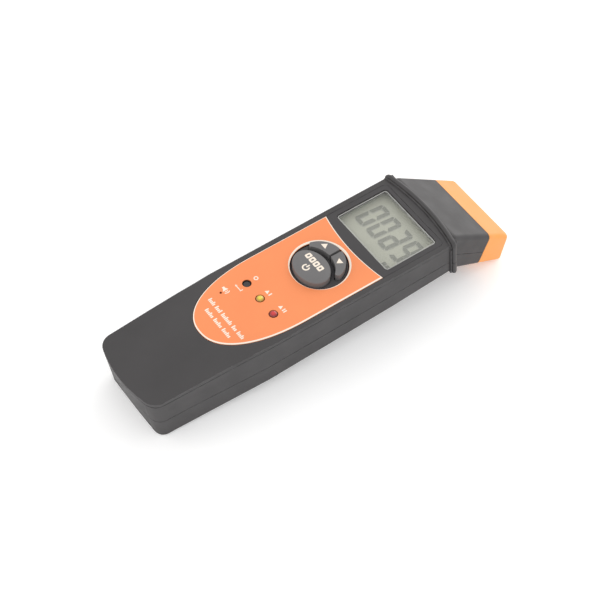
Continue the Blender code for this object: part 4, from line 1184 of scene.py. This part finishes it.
def build_keys():
    """The rubber key base, its three keys and the print on them."""
    profile = [
        (0.0, KEY_FIELD_TOP),
        (KEYPAD_RADIUS - FIT - 0.4 * MM, KEY_FIELD_TOP),
        (KEYPAD_RADIUS - FIT, KEY_FIELD_TOP - 0.4 * MM),
        (KEYPAD_RADIUS - FIT, -WALL - FIT),
        (KEY_BASE_RADIUS, -WALL - FIT),
        (KEY_BASE_RADIUS, KEY_BASE_BOTTOM),
        (0.0, KEY_BASE_BOTTOM),
    ]
    web = turned("keypad_web", profile, 96)
    mode_plan = ellipse(MODE_SIZE[0] - 0.5 * MM, MODE_SIZE[1] - 0.1 * MM, MODE_CENTRE_Y)
    plans = (mode_plan, arrow_key_plan(-1), arrow_key_plan(1))
    carve(web, "DIFFERENCE", *[slab("hole", inset(plan, -FIT), -THROUGH, THROUGH) for plan in plans])
    round_edges(web, 0.12 * MM, at_height(KEY_FIELD_TOP), 2)
    finished(web, "web", "case", ["key_base"])

    mode = dome_key("mode_key_cap", plans[0], 0.0, 0.8 * MM, 1.0 * MM, (0.0, MODE_CENTRE_Y), 4)
    up = dome_key("up_key_cap", plans[1], 0.8 * MM, 0.5 * MM, 0.0, (-6.3 * MM, 8.0 * MM), 0)
    down = dome_key("down_key_cap", plans[2], 0.8 * MM, 0.5 * MM, 0.0, (6.3 * MM, 8.0 * MM), 0)
    menu = []
    for x in (-5.4, -2.35, 0.7, 3.75):
        mark = rounded_rectangle(1.3 * MM, 1.6 * MM, 0.6 * MM, (x * MM, -2.3 * MM), 4)
        hollow = rounded_rectangle(0.4 * MM, 0.7 * MM, 0.3 * MM, (x * MM, -2.3 * MM), 4)
        menu.append((mark, (hollow,)))
    signs = (
        ("mode_key", mode, menu + power_sign((-0.5 * MM, -7.3 * MM), 1.9 * MM)),
        ("up_key", up, triangle_sign(-6.4 * MM, 7.9 * MM, True)),
        ("down_key", down, triangle_sign(5.2 * MM, 7.2 * MM, False)),
    )
    for name, key, outlines in signs:
        prints = draped_print(name + "_print", outlines, key)
        finished(key, "key", name, [name])
        finished(prints, "print", name, [])


def build_row():
    """The off button in its well and the two lamps beside it."""
    rim = arc((OFF_RADIUS - 0.5 * MM, -1.2 * MM), 0.5 * MM, 90, 0, 6)
    plunger = [(0.0, -0.8 * MM), (1.1 * MM, -0.78 * MM)] + rim
    plunger += [(OFF_RADIUS, -4.4 * MM), (1.5 * MM, -4.6 * MM), (1.5 * MM, STEM_END), (0.0, STEM_END)]
    button = turned("off_plunger", plunger)
    button.data.transform(Matrix.Translation((-ROW_PITCH, ROW_Y, 0.0)))
    finished(button, "web", "off_button", ["off_button"])
    angles = [radians(a) for a in range(0, 91, 6)]
    dome = [(LAMP_RADIUS * sin(a), (0.7 - 0.9 * (1 - cos(a))) * MM) for a in angles]
    flange = LAMP_RADIUS + 0.5 * MM
    base = [(LAMP_RADIUS, -2.6 * MM), (flange, -2.6 * MM), (flange, -3.6 * MM), (LAMP_RADIUS, -3.6 * MM)]
    base += [(LAMP_RADIUS, BOARD_TOP + FIT), (0.0, BOARD_TOP + FIT)]
    for x, colour in ((0.0, "yellow"), (ROW_PITCH, "red")):
        lamp = turned(colour + "_lamp_lens", dome + base)
        lamp.data.transform(Matrix.Translation((x, ROW_Y, 0.0)))
        finished(lamp, colour, "case", [colour + "_lamp"])


# ---- stage


def build_stage():
    """A pale floor, three large soft lights and a white surround."""
    bm = bmesh.new()
    bmesh.ops.create_grid(bm, x_segments=8, y_segments=8, size=3.0)
    floor = new_object("studio_floor", mesh_of(bm, "studio_floor"))
    floor.location.z = -0.2 * MM
    pale = solid_finish("studio_floor", (0.90, 0.90, 0.90), 0.85, 60, 0.0, 0.01, 0.0, specular=0.2)
    glow = pale.node_tree.nodes["Principled BSDF"]
    glow.inputs["Emission Color"].default_value = (1.0, 1.0, 1.0, 1.0)
    glow.inputs["Emission Strength"].default_value = 0.22
    floor.data.materials.append(pale)
    lights = (
        ("head_light", (-0.45, 1.15, 0.5), 1.4, 6.5, (1.0, 0.98, 0.96)),
        ("fill_light", (0.9, -0.5, 0.9), 1.4, 2.0, (0.97, 0.98, 1.0)),
        ("tail_light", (-0.5, -0.9, 0.5), 1.2, 2.2, (1.0, 0.95, 0.88)),
    )
    for name, place, size, power, colour in lights:
        data = bpy.data.lights.new(name, "AREA")
        data.shape = "DISK"
        data.size = size
        data.energy = power
        data.color = colour
        light = new_object(name, data)
        light.location = place
        light.rotation_mode = "QUATERNION"
        light.rotation_quaternion = (-Vector(place)).to_track_quat("-Z", "Y")
    world = bpy.data.worlds.new("studio")
    world.use_nodes = True
    background = world.node_tree.nodes["Background"]
    background.inputs["Color"].default_value = (1.0, 1.0, 1.0, 1.0)
    background.inputs["Strength"].default_value = 0.92
    bpy.context.scene.world = world
    bpy.context.scene.view_settings.view_transform = "Standard"


def build_camera():
    data = bpy.data.cameras.new("camera")
    data.lens = CAMERA_LENS
    camera = new_object("camera", data)
    forward = (CAMERA_TARGET - CAMERA_PLACE).normalized()
    right = (CAMERA_RIGHT - forward * CAMERA_RIGHT.dot(forward)).normalized()
    up = right.cross(forward)
    turn = Matrix((right, up, -forward)).transposed().to_4x4()
    camera.matrix_world = POSE @ Matrix.Translation(CAMERA_PLACE) @ turn
    bpy.context.scene.camera = camera


build_camera()
build_stage()
dress_carried_over()
build_housing()
build_face()
build_keys()
build_row()
